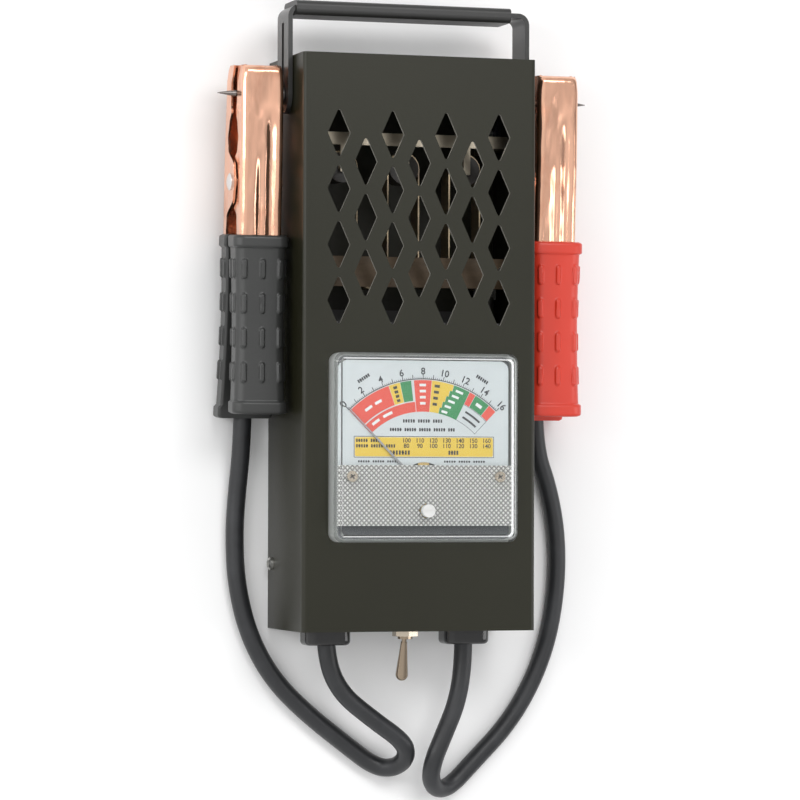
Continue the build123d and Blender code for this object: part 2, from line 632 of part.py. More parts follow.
# ------------------------------------------------------------------ clamps, drawn flat about the rivet
# In a clamp's own frame the rivet is the origin, +Y points to the jaw and Z = 0 is the parting plane.
def web_z(y):
    """Height of an arm's outer face above the parting plane."""
    return 12.4 if y > -30 else 12.4 + (-30 - y) * 0.066


def arm(half_width, ear_r, back_y):
    """One pressed channel arm: web, two flanges with a toothed jaw edge, and a pivot ear."""
    teeth = [(30, 1.0), (33, 3.0), (36.5, 2.0), (39.5, 2.0), (43, 3.2), (46, 1.0), (49.5, 1.0)]
    outline = [(back_y, 7.5), (-24, 6.2), (-15, 5.4), (-9, 1), (9, 1), (14, 4.6), (19, 5.6), (25, 3.6)] + teeth
    outline += [(50, 8.6), (47.5, 11), (10, web_z(10)), (-30, web_z(-30)), (back_y, web_z(back_y))]
    solid = side_profile(outline, half_width)
    solid += rod((-half_width, 0, 0), (1, 0, 0), 2 * half_width, ear_r)
    solid += side_profile([(-9, 1), (9, 1), (9, 4), (-9, 4)], half_width)
    hollow = [(60, -20), (48.8, -20), (48.8, 8.2), (46.8, 11 - ARM_T), (10, web_z(10) - ARM_T),
              (-30, web_z(-30) - ARM_T), (back_y - 1, web_z(back_y) - ARM_T), (back_y - 1, -20)]
    return solid - side_profile(hollow[1:], half_width - ARM_T)


def upper_arm():
    """Narrow arm; its ears run on the rivet inside the lower arm's ears."""
    solid = arm(UPPER_HALF, 5.6, -84)
    return solid - rod((-20, 0, 0), (1, 0, 0), 40, RIVET_R + RUN_GAP)


def lower_arm():
    """Wide arm, mirrored, with the rivet tight in its ears."""
    solid = mirror(arm(LOWER_HALF, 5.6, -84), about=Plane.XY)
    return solid - rod((-20, 0, 0), (1, 0, 0), 40, RIVET_R)


def rivet():
    """Tubular rivet across both arms."""
    barrel = rod((-LOWER_HALF, 0, 0), (1, 0, 0), 2 * LOWER_HALF, RIVET_R)
    for side in (-1, 1):
        barrel += rod((side * LOWER_HALF, 0, 0), (side, 0, 0), 0.6, 3.7)
        barrel += rod((side * (LOWER_HALF + 0.6), 0, 0), (side, 0, 0), 0.6, 3.7, 2.4)
    return barrel


def torsion_spring():
    """Close-wound coil on the rivet with a leg to each web."""
    wire, mean_r = 0.9, 4.6
    coil = None
    for index in range(6):
        ring = Pos((index - 2.5) * 1.7, 0, 0) * Rot(0, 90, 0) * Torus(mean_r, wire)
        coil = ring if coil is None else coil + ring
    for x, up in ((-4.25, 1), (4.25, -1)):
        foot = Vector(0, -20, up * 10.0)
        start = Vector(0, 0, up * mean_r)
        span = foot - start
        coil += rod((x, start.Y, start.Z), (0, span.Y, span.Z), span.length, wire)
    return coil


def grip(half_gap_front, half_gap_back, back_y, arm_half):
    """Moulded sleeve for one arm, open towards the other, with a collar at each end."""
    def section(y, grow):
        """The sleeve's outline across the arm, with rounded outer corners."""
        share = (y - GRIP_FRONT) / (GRIP_BACK - GRIP_FRONT)
        top = 15.0 + 3.9 * share + grow
        low = half_gap_front + (half_gap_back - half_gap_front) * share
        half = GRIP_HALF + grow - 0.8
        face = Polygon((-half, low), (half, low), (half, top), (-half, top), align=None)
        face = fillet(face.vertices().group_by(Axis.Y)[-1], 4.5)
        return end_plane(0, y, 0) * face

    def prism(grow, y0, y1):
        return loft([section(y0, grow), section(y1, grow)])

    sleeve = prism(0, GRIP_FRONT, back_y) + prism(0.8, GRIP_FRONT, GRIP_FRONT - 5)
    sleeve += prism(0.8, back_y + 5, back_y)
    pocket_end = -95.0
    pocket = [(GRIP_FRONT + 1, -5), (GRIP_FRONT + 1, web_z(GRIP_FRONT)), (-30, web_z(-30)),
              (-84, web_z(-84)), (pocket_end, web_z(-84)), (pocket_end, -5)]
    return sleeve - side_profile(pocket, arm_half)


def upper_grip():
    return grip(2.0, 8.0, GRIP_BACK, UPPER_HALF)


def lower_grip():
    """Lower sleeve, with the lead's bore through its closed end."""
    sleeve = mirror(grip(2.0, 7.0, GRIP_BACK_LOWER, LOWER_HALF), about=Plane.XY)
    return sleeve - rod((0, -110, LEAD_GRIP_Z), (0, 1, 0), 20, LEAD_D / 2)


def lead_crimp():
    """Crimped ferrule that joins the lead's copper to the lower arm's web."""
    ferrule = rod((0, LEAD_END_Y, LEAD_GRIP_Z), (0, 1, 0), 20, 2.5)
    web = -web_z(-76) + ARM_T + 0.05
    return ferrule + block(-4, 4, -84, -76, web, LEAD_GRIP_Z)


def place_clamp(colour, shape):
    """Move a clamp piece from its own frame onto its peg."""
    return Pos(CLAMP_X[colour], RIVET_Y, RIVET_Z) * Rot(CLAMP_TILT_DEG, 0, 0) * shape


# ------------------------------------------------------------------ build
def main():
    os.makedirs("parts", exist_ok=True)
    corners = [(side, y) for side in (-1, 1) for y in (-SCREW_Y, SCREW_Y)]
    save("front_cover", front_cover())
    save("rear_chassis", rear_chassis())
    save("case_screws", *[case_screw(side, y) for side, y in corners])
    save("case_clip_nuts", *[clip_nut(side, y) for side, y in corners])

    strap = handle_strap()
    save("handle_strap", strap)
    save("handle_grip", handle_grip(strap))
    save("left_peg", side_peg(-1))
    save("right_peg", side_peg(1))
    save("peg_nuts", *both_sides(peg_washer), *both_sides(peg_nut))

    save("meter_base", meter_base())
    save("meter_lens", meter_lens())
    save("dial_plate", dial_plate())
    save("meter_mask", meter_mask())
    save("dial_screws", *[dial_screw(x, y) for x, y in METER_SCREWS])
    save("zero_adjuster", zero_adjuster())
    save("magnet_ring", magnet_ring())
    save("meter_magnets", *both_sides(magnet))
    save("coil_core", coil_core())
    save("upper_bridge", movement_bridge(CASE_T + 2.6, CASE_T + 3.8))
    save("lower_bridge", movement_bridge(CASE_T - 17.4, CASE_T - 16.2))
    save("pointer", pointer())
    save("pointer_staff", *pointer_staff())
    save("moving_coil", moving_coil())
    save("hairspring", hairspring())
    save("meter_studs", *meter_studs())
    save("meter_nuts", *meter_nuts())
    save("meter_bracket", meter_bracket())

    save("switch_body", switch_body())
    save("switch_bushing", switch_bushing())
    save("switch_nut", switch_nut())
    save("switch_washer", switch_washer())
    save("switch_lever", switch_lever())
    save("switch_terminals", *switch_terminals())

    save("resistor_ribbon", resistor_ribbon())
    save("load_studs", *both_sides(load_stud))
    save("terminal_board", terminal_board())
    save("board_screws", *board_screws())
    save("support_bar", support_bar())
    save("ceramic_beads", *ceramic_beads())
    save("heat_shield", heat_shield())
    save("ring_terminals", *both_sides(ring_terminal))
    save("meter_wires", meter_wire("meter wire left", -1), meter_wire("meter wire right", 1))

    for colour, side, route in (("black", -1, BLACK_ROUTE), ("red", 1, RED_ROUTE)):
        save(colour + "_gland", gland(side))
        save(colour + "_lead", cord(colour + " lead", route, LEAD_D))
        save(colour + "_upper_arm", place_clamp(colour, upper_arm()))
        save(colour + "_lower_arm", place_clamp(colour, lower_arm()))
        save(colour + "_upper_grip", place_clamp(colour, upper_grip()))
        save(colour + "_lower_grip", place_clamp(colour, lower_grip()))
        save(colour + "_spring", place_clamp(colour, torsion_spring()))
    save("inner_leads", lead_tail("inner lead left", -1), lead_tail("inner lead right", 1))
    save("clamp_rivets", place_clamp("black", rivet()), place_clamp("red", rivet()))
    save("lead_crimps", place_clamp("black", lead_crimp()), place_clamp("red", lead_crimp()))


main()
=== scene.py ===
"""Looks of the battery load tester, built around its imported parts, and laid out as an add-on."""
import json
import math

import bmesh
import bpy
from bpy.props import FloatProperty, FloatVectorProperty, IntProperty, PointerProperty
from mathutils import Matrix, Vector


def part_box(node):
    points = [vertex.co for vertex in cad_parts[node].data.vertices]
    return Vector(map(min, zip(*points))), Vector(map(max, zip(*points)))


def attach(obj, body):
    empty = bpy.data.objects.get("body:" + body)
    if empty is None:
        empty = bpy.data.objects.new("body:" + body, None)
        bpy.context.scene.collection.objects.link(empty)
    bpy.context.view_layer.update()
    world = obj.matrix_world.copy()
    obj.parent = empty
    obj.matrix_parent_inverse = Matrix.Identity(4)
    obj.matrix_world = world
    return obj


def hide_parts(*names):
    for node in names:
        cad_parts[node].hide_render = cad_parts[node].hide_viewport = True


bl_info = {
    "name": "Battery Tester",
    "version": (1, 0, 0),
    "blender": (4, 5, 0),
    "location": "View3D > Sidebar > Battery Tester",
    "description": "Leads, clamps, dial, finishes and stage for a battery load tester",
    "category": "Object",
}

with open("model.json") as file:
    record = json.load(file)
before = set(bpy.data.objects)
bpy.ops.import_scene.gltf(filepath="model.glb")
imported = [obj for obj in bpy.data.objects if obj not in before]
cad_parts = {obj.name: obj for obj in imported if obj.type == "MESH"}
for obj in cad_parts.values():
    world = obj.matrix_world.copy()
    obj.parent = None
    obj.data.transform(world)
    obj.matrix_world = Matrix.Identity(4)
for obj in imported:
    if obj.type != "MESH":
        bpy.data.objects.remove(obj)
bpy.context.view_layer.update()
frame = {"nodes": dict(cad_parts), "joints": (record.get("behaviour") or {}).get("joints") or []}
NODES = frame["nodes"]
MM = 0.001

CASE_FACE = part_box("front_cover")[1].z
DIAL_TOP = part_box("dial_plate")[1].z
MASK_LOW, MASK_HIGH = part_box("meter_mask")
STAFF_LOW, STAFF_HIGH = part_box("pointer_staff")
LENS_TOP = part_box("meter_lens")[1].z
ADJUSTER_LOW, ADJUSTER_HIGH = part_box("zero_adjuster")
PIVOT = Vector(((STAFF_LOW.x + STAFF_HIGH.x) / 2, (STAFF_LOW.y + STAFF_HIGH.y) / 2, DIAL_TOP))
PRINT_SHIFT = Vector((-0.0006, 0, 0))       # the print sits a little off the staff
JOINT = {joint["name"]: joint for joint in frame["joints"]}
COLOURS = ("black", "red")


# ---------------------------------------------------------------- shader expressions
class Value:
    """One shader socket; arithmetic on it adds Math nodes."""

    def __init__(self, board, socket):
        self.board, self.socket = board, socket

    def math(self, operation, *others):
        return self.board.value("ShaderNodeMath", {"operation": operation}, [self, *others])

    def reflected(self, operation, other):
        return self.board.value("ShaderNodeMath", {"operation": operation}, [other, self])

    def __add__(self, other):
        return self.math("ADD", other)

    def __sub__(self, other):
        return self.math("SUBTRACT", other)

    def __mul__(self, other):
        return self.math("MULTIPLY", other)

    def __rsub__(self, other):
        return self.reflected("SUBTRACT", other)

    __radd__, __rmul__ = __add__, __mul__

    def clamped(self, low=0.0, high=1.0):
        return self.math("MAXIMUM", low).math("MINIMUM", high)


class Board:
    """A material's node tree, with one method that adds any node."""

    def __init__(self, name):
        self.material = bpy.data.materials.new(name)
        self.material.use_nodes = True
        self.tree = self.material.node_tree
        self.tree.nodes.clear()
        self.place = self.value("ShaderNodeTexCoord", output="Object")

    def node(self, kind, settings=None, values=()):
        """A node of one kind: its settings are set first, then the values or links of its sockets."""
        made = self.tree.nodes.new(kind)
        for key, value in (settings or {}).items():
            if key == "stops":
                ramp = made.color_ramp.elements
                while len(ramp) < len(value):
                    ramp.new(0.5)
                for element, (position, colour) in zip(ramp, value):
                    element.position, element.color = position, (*colour, 1)
            else:
                setattr(made, key, value)
        pairs = values.items() if isinstance(values, dict) else enumerate(values)
        for key, value in pairs:
            if isinstance(value, Value):
                self.tree.links.new(value.socket, made.inputs[key])
            else:
                made.inputs[key].default_value = value
        return made

    def value(self, kind, settings=None, values=(), output=0):
        """One output of a new node."""
        return Value(self, self.node(kind, settings, values).outputs[output])

    def along(self, axis):
        """Object coordinate along one axis."""
        return self.value("ShaderNodeSeparateXYZ", {}, [self.place], axis)

    def stretched(self, scale):
        """Object coordinates, stretched along the axes."""
        return self.value("ShaderNodeMapping", {}, {"Vector": self.place, "Scale": scale})

    def noise(self, scale, detail=3.0, stretch=(1, 1, 1), roughness=0.5):
        """Noise of that many features per metre, from 0 to 1."""
        where = self.place if tuple(stretch) == (1, 1, 1) else self.stretched(stretch)
        return self.value("ShaderNodeTexNoise", {}, {
            "Vector": where, "Scale": scale, "Detail": detail, "Roughness": roughness})

    def between(self, factor, low, high):
        """A colour between two, by a factor."""
        low, high = (end if isinstance(end, Value) else (*end, 1) for end in (low, high))
        return self.value("ShaderNodeMix", {"data_type": "RGBA"}, {0: factor, 6: low, 7: high}, 2)

    def bump(self, height, depth):
        """A normal from a height of 0 to 1 that stands for a depth in metres."""
        return self.value("ShaderNodeBump", {}, {"Height": height, "Distance": depth, "Strength": 1.0})

    def principled(self, values):
        return self.value("ShaderNodeBsdfPrincipled", {}, values)

    def finish(self, shader):
        self.node("ShaderNodeOutputMaterial", {}, {"Surface": shader})
        return self.material


def shades(colour, spread):
    """A darker and a lighter neighbour of a colour."""
    return tuple(c * (1 - spread) for c in colour), tuple(min(1.0, c * (1 + spread)) for c in colour)


def plain_finish(name, colour, roughness, metallic=0.0, spread=0.12, grain=(900, 0.00002), stretch=(1, 1, 1),
                 smudge=0.08, extra=None):
    """A base finish: uneven colour, smudged gloss and a fine grain in the surface."""
    board = Board(name)
    cloud = board.noise(45, 4)
    fine = board.noise(grain[0], 3, stretch)
    values = {
        "Base Color": board.between(cloud, *shades(colour, spread)),
        "Roughness": (roughness - smudge / 2 + cloud * smudge + fine * (smudge * 0.6)).clamped(0.03, 1),
        "Metallic": metallic,
        "Normal": board.bump(fine, grain[1]),
    }
    values.update(extra or {})
    return board.finish(board.principled(values))


SHEET = 0.0013                 # a little more than the front sheet's thickness
HIGHLIGHT_DROP = 0.00005            # how far below the face the painted highlight on the cut edges starts
VENTS_REACH = 0.046            # half the width that holds every cut-out
SHARP = 50000                  # turns a step of a fraction of a millimetre into 0 or 1
# painted highlight: the light colour painted on the sheet's cut edges
CUT_EDGE_HIGHLIGHT = (0.30, 0.29, 0.26)


def case_paint(settings):
    """Satin powder coat: a low orange peel, specks of dust, and cut edges painted light as a painted
    highlight.
    """
    board = Board("case_paint")
    peel = board.noise(1 / settings.peel_size, 2)
    cloud = board.noise(14, 3)
    dust = board.noise(2600, 1)
    speck = (dust - 0.74).clamped() * 6.0
    paint = board.between((cloud * 0.8 + speck * 0.25).clamped(), *shades(settings.paint_colour, 0.18))
    across, height = board.along("X"), board.along("Z")
    below_face = ((CASE_FACE - HIGHLIGHT_DROP - height) * SHARP).clamped()
    above_back = ((height - (CASE_FACE - SHEET)) * SHARP).clamped()
    off_bend = ((VENTS_REACH ** 2 - across * across) * SHARP).clamped()
    # the sheet's cut edges, round the vents and along its ends, are painted light: a painted highlight
    colour = board.between(below_face * above_back * off_bend, paint, CUT_EDGE_HIGHLIGHT)
    rough = settings.paint_roughness - 0.05 + cloud * 0.10 + dust * 0.05
    return board.finish(board.principled({
        "Base Color": colour, "Roughness": rough, "Normal": board.bump(peel, 0.000025),
        "Specular IOR Level": 0.35}))


def copper(settings):
    """Bright copper plate: fine rolling lines along the arm, pinkish, with darker handling marks."""
    board = Board("copper_plate")
    lines = board.noise(1500, 3, (1, 0.03, 1))
    marks = board.noise(60, 5, (1, 0.5, 1), 0.6)
    tarnish = ((marks - 0.56) * 5.0).clamped()
    colour = board.between(tarnish, settings.copper_colour, settings.tarnish_colour)
    rough = 0.15 + lines * 0.08 + tarnish * 0.12
    dents = board.noise(95, 2, (1, 0.35, 1))
    return board.finish(board.principled({
        "Base Color": colour, "Roughness": rough, "Metallic": 1.0,
        "Normal": board.bump(dents + lines * 0.02, 0.0011)}))


FROST_DEPTH = 0.0026           # how far below the lens's top its walls turn frosty
FROST_FADE = 1500.0            # how fast they do, per metre


def clear_plastic():
    """Polished clear moulding that lets lamps through to the dial."""
    board = Board("clear_plastic")
    scratch = board.noise(300, 4, (1, 0.2, 1))
    wall = ((LENS_TOP - FROST_DEPTH - board.along("Z")) * FROST_FADE).clamped()
    glass = board.principled({
        "Base Color": (0.97, 0.985, 0.985, 1), "Roughness": (scratch * 0.04 + wall * 0.3).clamped(0.01, 0.4),
        "IOR": 1.46, "Transmission Weight": 1.0})
    milky = board.value("ShaderNodeBsdfDiffuse", {}, {"Color": (0.62, 0.64, 0.62, 1)})
    body = board.value("ShaderNodeMixShader", {}, [wall * 0.30, glass, milky])
    open_air = board.value("ShaderNodeBsdfTransparent", {}, {"Color": (0.95, 0.96, 0.96, 1)})
    shadow = board.value("ShaderNodeLightPath", output="Is Shadow Ray")
    return board.finish(board.value("ShaderNodeMixShader", {}, [shadow, body, open_air]))


def heater_alloy():
    """Resistance strip, straw-coloured where it has run hot."""
    board = Board("heater_alloy")
    heat = board.noise(35, 3, (1, 2.5, 1))
    scale = board.noise(900, 3)
    tint = board.value("ShaderNodeValToRGB", {"stops": [
        (0.3, (0.30, 0.24, 0.17)), (0.5, (0.62, 0.50, 0.33)), (0.7, (0.45, 0.35, 0.27))]}, [heat])
    return board.finish(board.principled({
        "Base Color": tint, "Metallic": 1.0,
        "Roughness": 0.28 + scale * 0.2, "Normal": board.bump(scale, 0.00003)}))


def phenolic_paper():
    """Brown laminated board with pressed fibres."""
    board = Board("phenolic_brown")
    fibre = board.noise(260, 5, (0.25, 1, 1), 0.7)
    return board.finish(board.principled({
        "Base Color": board.between(fibre, (0.055, 0.035, 0.018), (0.17, 0.115, 0.065)),
        "Roughness": 0.38 + fibre * 0.2, "Normal": board.bump(fibre, 0.00004)}))


def dial_card():
    """Printed card: cool white with a slight fall-off and fine paper tooth."""
    board = Board("dial_card")
    tooth = board.noise(2500, 2)
    cloud = board.noise(30, 3)
    return board.finish(board.principled({
        "Base Color": board.between(cloud, (0.45, 0.48, 0.49), (0.55, 0.58, 0.59)),
        "Roughness": 0.55 + tooth * 0.1, "Normal": board.bump(tooth, 0.00001)}))


def lead_rubber(colour):
    """Rubber lead sheath: drawn lines round it, a bloom of lighter dust."""
    board = Board("lead_rubber")
    drawn = board.noise(700, 4)
    bloom = ((board.noise(70, 4) - 0.45) * 3.0).clamped()
    return board.finish(board.principled({
        "Base Color": board.between(bloom * 0.6, colour, tuple(c * 2.2 for c in colour)),
        "Roughness": 0.36 + bloom * 0.14 + drawn * 0.06, "Normal": board.bump(drawn, 0.00004)}))


def vinyl(name, colour, roughness):
    """Dipped soft vinyl with a slightly pebbled skin."""
    board = Board(name)
    pebble = board.noise(1300, 2)
    cloud = board.noise(40, 4)
    return board.finish(board.principled({
        "Base Color": board.between(cloud, *shades(colour, 0.14)),
        "Roughness": roughness - 0.05 + cloud * 0.14,
        "Coat Weight": 0.15, "Coat Roughness": 0.3,
        "Normal": board.bump(pebble, 0.00003)}))


# ---------------------------------------------------------------- mesh helpers
def wear(name, material):
    """Give a CAD node its finish."""
    mesh = NODES[name].data
    mesh.materials.clear()
    mesh.materials.append(material)


def piece(name, bm, material, body, smooth=None):
    """Turn a bmesh into a named piece that rides on a body."""
    mesh = bpy.data.meshes.new(name)
    bm.to_mesh(mesh)
    bm.free()
    mesh.materials.append(material)
    if smooth is not None:
        mesh.shade_smooth()
        mesh.set_sharp_from_angle(angle=math.radians(smooth))
    made = bpy.data.objects.new(name, mesh)
    bpy.context.scene.collection.objects.link(made)
    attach(made, body)
    return made


def blended(points, x):
    """Height at x on a line through the points, with soft corners."""
    for (x0, y0), (x1, y1) in zip(points, points[1:]):
        if x <= x1:
            share = min(1.0, max(0.0, (x - x0) / (x1 - x0)))
            return y0 + (y1 - y0) * (0.5 - 0.5 * math.cos(math.pi * share))
    return points[-1][1]


def bell(x, middle, width):
    """A soft hump of height 1."""
    return math.exp(-((x - middle) / width) ** 2)


# ---------------------------------------------------------------- settings
def shade(name, description, default):
    """A colour that a user can change."""
    return FloatVectorProperty(name=name, description=description, subtype="COLOR", default=default)


def measure(name, description, default):
    """A length that a user can change."""
    return FloatProperty(name=name, description=description, unit="LENGTH", default=default)


class CaseSettings(bpy.types.PropertyGroup):
    paint_colour: shade("Paint colour", "Powder coat on the case", (0.0145, 0.0142, 0.0062))
    paint_roughness: FloatProperty(
        name="Paint roughness", description="Gloss of the coat", subtype="FACTOR", min=0, max=1, default=0.34)
    peel_size: measure("Peel size", "Width of one bump of orange peel", 0.0012)


class MeterSettings(bpy.types.PropertyGroup):
    end_angle: FloatProperty(
        name="End angle", description="Angle of both ends of the scale from 12 o'clock", subtype="ANGLE",
        default=math.radians(44.4))
    inner_radius: measure("Inner radius", "Inner edge of the coloured band", 0.0333)
    divide_radius: measure("Divide radius", "Line between the two scales", 0.0378)
    outer_radius: measure("Outer radius", "Outer edge of the coloured band", 0.0468)
    scale_end: IntProperty(name="Scale end", description="Highest number on the scale", default=16)
    knurl_pitch: measure("Knurl pitch", "Width of one pyramid on the mask", 0.0015)
    print_red: shade("Red print", "Red bands", (0.62, 0.070, 0.045))
    print_yellow: shade("Yellow print", "Yellow bands", (0.62, 0.43, 0.045))
    print_green: shade("Green print", "Green bands", (0.025, 0.21, 0.07))
    print_black: shade("Black print", "Numbers and lines", (0.03, 0.03, 0.035))


class LeadSettings(bpy.types.PropertyGroup):
    diameter: measure("Diameter", "Outside diameter of a lead", 0.008)
    rubber_colour: shade("Rubber", "Sheath colour", (0.018, 0.019, 0.021))


class ClampSettings(bpy.types.PropertyGroup):
    copper_colour: shade("Copper", "Bright plate", (0.86, 0.49, 0.34))
    tarnish_colour: shade("Tarnish", "Handled plate", (0.62, 0.27, 0.16))
    groove_depth: measure("Groove depth", "Pressed grooves in the arms", 0.0012)
    sheet: measure("Sheet", "Thickness of the arms", 0.0010)
    bump_length: measure("Bump length", "Length of one ridge on a grip", 0.0088)
    bump_width: measure("Bump width", "Width of one ridge on a grip", 0.0026)
    ridge_height: measure("Ridge height", "Height of one ridge on a grip", 0.0009)
    black_colour: shade("Black vinyl", "Black grips", (0.026, 0.027, 0.026))
    red_colour: shade("Red vinyl", "Red grips", (0.66, 0.040, 0.018))


class StageSettings(bpy.types.PropertyGroup):
    floor_colour: shade("Floor", "Pale floor", (0.96, 0.96, 0.96))
    camera_place: FloatVectorProperty(name="Camera", description="Where the camera stands", subtype="XYZ",
                                      default=(-0.5193, -0.0569, 1.6225))
    camera_turn: FloatVectorProperty(
        name="Turn", description="Tilt, swing and roll of the camera", subtype="EULER",
        default=(math.radians(1.125), math.radians(-18.004), math.radians(0.161)))
    lens: FloatProperty(name="Lens", description="Focal length in millimetres", default=173.65)


# ---------------------------------------------------------------- stage and leads
class TESTER_OT_stage(bpy.types.Operator):
    """Lay the floor, hang the soft lights and set up the camera"""
    bl_idname = "tester.stage"
    bl_label = "Stage"

    def area_light(self, name, place, size, power):
        data = bpy.data.lights.new(name, "AREA")
        data.shape = "RECTANGLE"
        data.size, data.size_y = size
        data.energy = power
        light = bpy.data.objects.new(name, data)
        light.location = place
        light.rotation_euler = (-Vector(place)).to_track_quat("-Z", "Y").to_euler()
        bpy.context.scene.collection.objects.link(light)

    def execute(self, context):
        settings = context.scene.tester_stage
        bpy.ops.mesh.primitive_plane_add(size=6, location=(0, 0, 0))
        floor = context.object
        floor.name = "floor"
        floor.data.materials.append(
            plain_finish("floor_paper", settings.floor_colour, 0.85, spread=0.01, grain=(400, 0.00001)))
        world = bpy.data.worlds.new("studio")
        context.scene.world = world
        world.use_nodes = True
        tree = world.node_tree
        background = tree.nodes["Background"]
        aim = tree.nodes.new("ShaderNodeTexCoord")
        split = tree.nodes.new("ShaderNodeSeparateXYZ")
        ramp = tree.nodes.new("ShaderNodeValToRGB")
        ramp.color_ramp.elements[0].position, ramp.color_ramp.elements[1].position = 0.0, 1.0
        ramp.color_ramp.elements[0].color = (1.0, 1.0, 1.0, 1)
        ramp.color_ramp.elements[1].color = (0.30, 0.30, 0.31, 1)
        tree.links.new(aim.outputs["Generated"], split.inputs[0])
        tree.links.new(split.outputs["X"], ramp.inputs["Fac"])
        tree.links.new(ramp.outputs["Color"], background.inputs["Color"])
        background.inputs["Strength"].default_value = 0.90
        self.area_light("overhead_box", (0.15, 0.75, 1.5), (1.0, 0.5), 8.5)
        self.area_light("left_strip", (-1.1, 0.2, 0.7), (0.25, 1.2), 4.0)
        self.area_light("right_strip", (1.2, -0.1, 0.8), (0.25, 1.2), 3.6)
        data = bpy.data.cameras.new("camera")
        data.lens = settings.lens
        data.sensor_width = 36
        data.clip_end = 50
        camera = bpy.data.objects.new("camera", data)
        tilt, swing, roll = settings.camera_turn
        turn = Matrix.Rotation(swing, 4, "Y") @ Matrix.Rotation(tilt, 4, "X") @ Matrix.Rotation(roll, 4, "Z")
        camera.matrix_world = Matrix.Translation(settings.camera_place) @ turn
        context.scene.collection.objects.link(camera)
        context.scene.camera = camera
        context.scene.view_settings.view_transform = "Standard"
        return {"FINISHED"}


# Where each lead runs, in millimetres, from inside its gland to inside its clamp's lower grip.
LEAD_ROUTES = {
    "black": [
        (-31.7, -119, 18), (-31.7, -135, 18), (-25.5, -151, 19), (-10.5, -163, 20.3),
        (4.1, -173.2, 20), (6.6, -180.4, 15.2), (3, -185.2, 8.6), (-4.6, -184.8, 4.1),
        (-18, -174.8, 4.1), (-37, -160, 4.1), (-52, -145, 4.1), (-62.5, -126, 4.1),
        (-68, -104, 4.1), (-69, -82, 4.1), (-68, -65, 4.6), (-66.6, -44, 7.6), (-66.6, -23.97, 8.94)],
    "red": [
        (31.7, -119, 18), (31.9, -136, 18), (29, -155, 19), (21.5, -171.5, 20),
        (17.5, -181, 19.6), (17.3, -189.5, 15.5), (22.3, -195, 9), (30.5, -194.2, 4.2),
        (41.5, -183, 4.1), (57, -167.5, 4.1), (68.5, -149.5, 4.1), (76.5, -129, 4.1),
        (80.3, -106, 4.1), (80.5, -84, 4.1), (76.5, -63, 4.7), (68.5, -44, 7.6), (67.8, -23.97, 8.94)],
}


class TESTER_OT_leads(bpy.types.Operator):
    """Lay the two clamp leads"""
    bl_idname = "tester.leads"
    bl_label = "Leads"

    def execute(self, context):
        settings = context.scene.tester_leads
        rubber = lead_rubber(settings.rubber_colour)
        wear("inner_leads", rubber)
        for colour in COLOURS:
            route = LEAD_ROUTES[colour]
            data = bpy.data.curves.new(colour + "_lead_sheath", "CURVE")
            data.dimensions = "3D"
            data.bevel_depth = settings.diameter / 2
            data.bevel_resolution = 6
            data.resolution_u = 12
            data.use_fill_caps = True
            spline = data.splines.new("NURBS")
            spline.points.add(len(route) - 1)
            for point, place in zip(spline.points, route):
                point.co = (*(Vector(place) * MM), 1)
            spline.order_u = 3
            spline.use_endpoint_u = True
            data.materials.append(rubber)
            lead = bpy.data.objects.new(colour + "_lead_sheath", data)
            context.scene.collection.objects.link(lead)
            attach(lead, "case")
            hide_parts(colour + "_lead")
        return {"FINISHED"}


# ---------------------------------------------------------------- case, handle, switch, load
class TESTER_OT_case(bpy.types.Operator):
    """Paint the case and finish its screws"""
    bl_idname = "tester.case"
    bl_label = "Case"

    def execute(self, context):
        paint = case_paint(context.scene.tester_case)
        wear("front_cover", paint)
        wear("rear_chassis", paint)
        zinc = plain_finish("zinc_plate", (0.62, 0.62, 0.59), 0.28, 1.0, grain=(1200, 0.00001))
        for name in ("case_screws", "peg_nuts", "board_screws"):
            wear(name, zinc)
        wear("case_clip_nuts", plain_finish("blued_steel", (0.10, 0.11, 0.14), 0.35, 1.0))
        return {"FINISHED"}


class TESTER_OT_handle(bpy.types.Operator):
    """Finish the handle strap, its grip and the pointed pegs"""
    bl_idname = "tester.handle"
    bl_label = "Handle"

    def execute(self, context):
        wear("handle_strap", plain_finish(
            "handle_steel", (0.022, 0.022, 0.021), 0.30, grain=(1100, 0.00002), extra={"Coat Weight": 0.2}))
        wear("handle_grip", vinyl("handle_plastic", (0.022, 0.022, 0.021), 0.42))
        turned = plain_finish(
            "turned_steel", (0.20, 0.18, 0.17), 0.24, 1.0, grain=(2500, 0.000015), stretch=(1, 0.1, 0.1))
        for name in ("left_peg", "right_peg", "pointer_staff"):
            wear(name, turned)
        return {"FINISHED"}


class TESTER_OT_switch(bpy.types.Operator):
    """Finish the toggle switch"""
    bl_idname = "tester.switch"
    bl_label = "Switch"

    def execute(self, context):
        nickel = plain_finish("nickel_plate", (0.60, 0.52, 0.42), 0.20, 1.0, grain=(1500, 0.00001))
        for name in ("switch_nut", "switch_washer", "dial_screws"):
            wear(name, nickel)
        warm = plain_finish("warm_nickel", (0.34, 0.27, 0.20), 0.17, 1.0, grain=(1500, 0.000006))
        for name in ("switch_lever", "switch_bushing"):
            wear(name, warm)
        wear("clamp_rivets", plain_finish("rivet_steel", (0.72, 0.71, 0.70), 0.16, 1.0, grain=(900, 0.00001)))
        wear("switch_body", plain_finish("phenolic_black", (0.02, 0.02, 0.02), 0.45))
        tin = plain_finish("tin_plate", (0.66, 0.66, 0.64), 0.32, 1.0)
        for name in ("switch_terminals", "ring_terminals", "lead_crimps"):
            wear(name, tin)
        return {"FINISHED"}


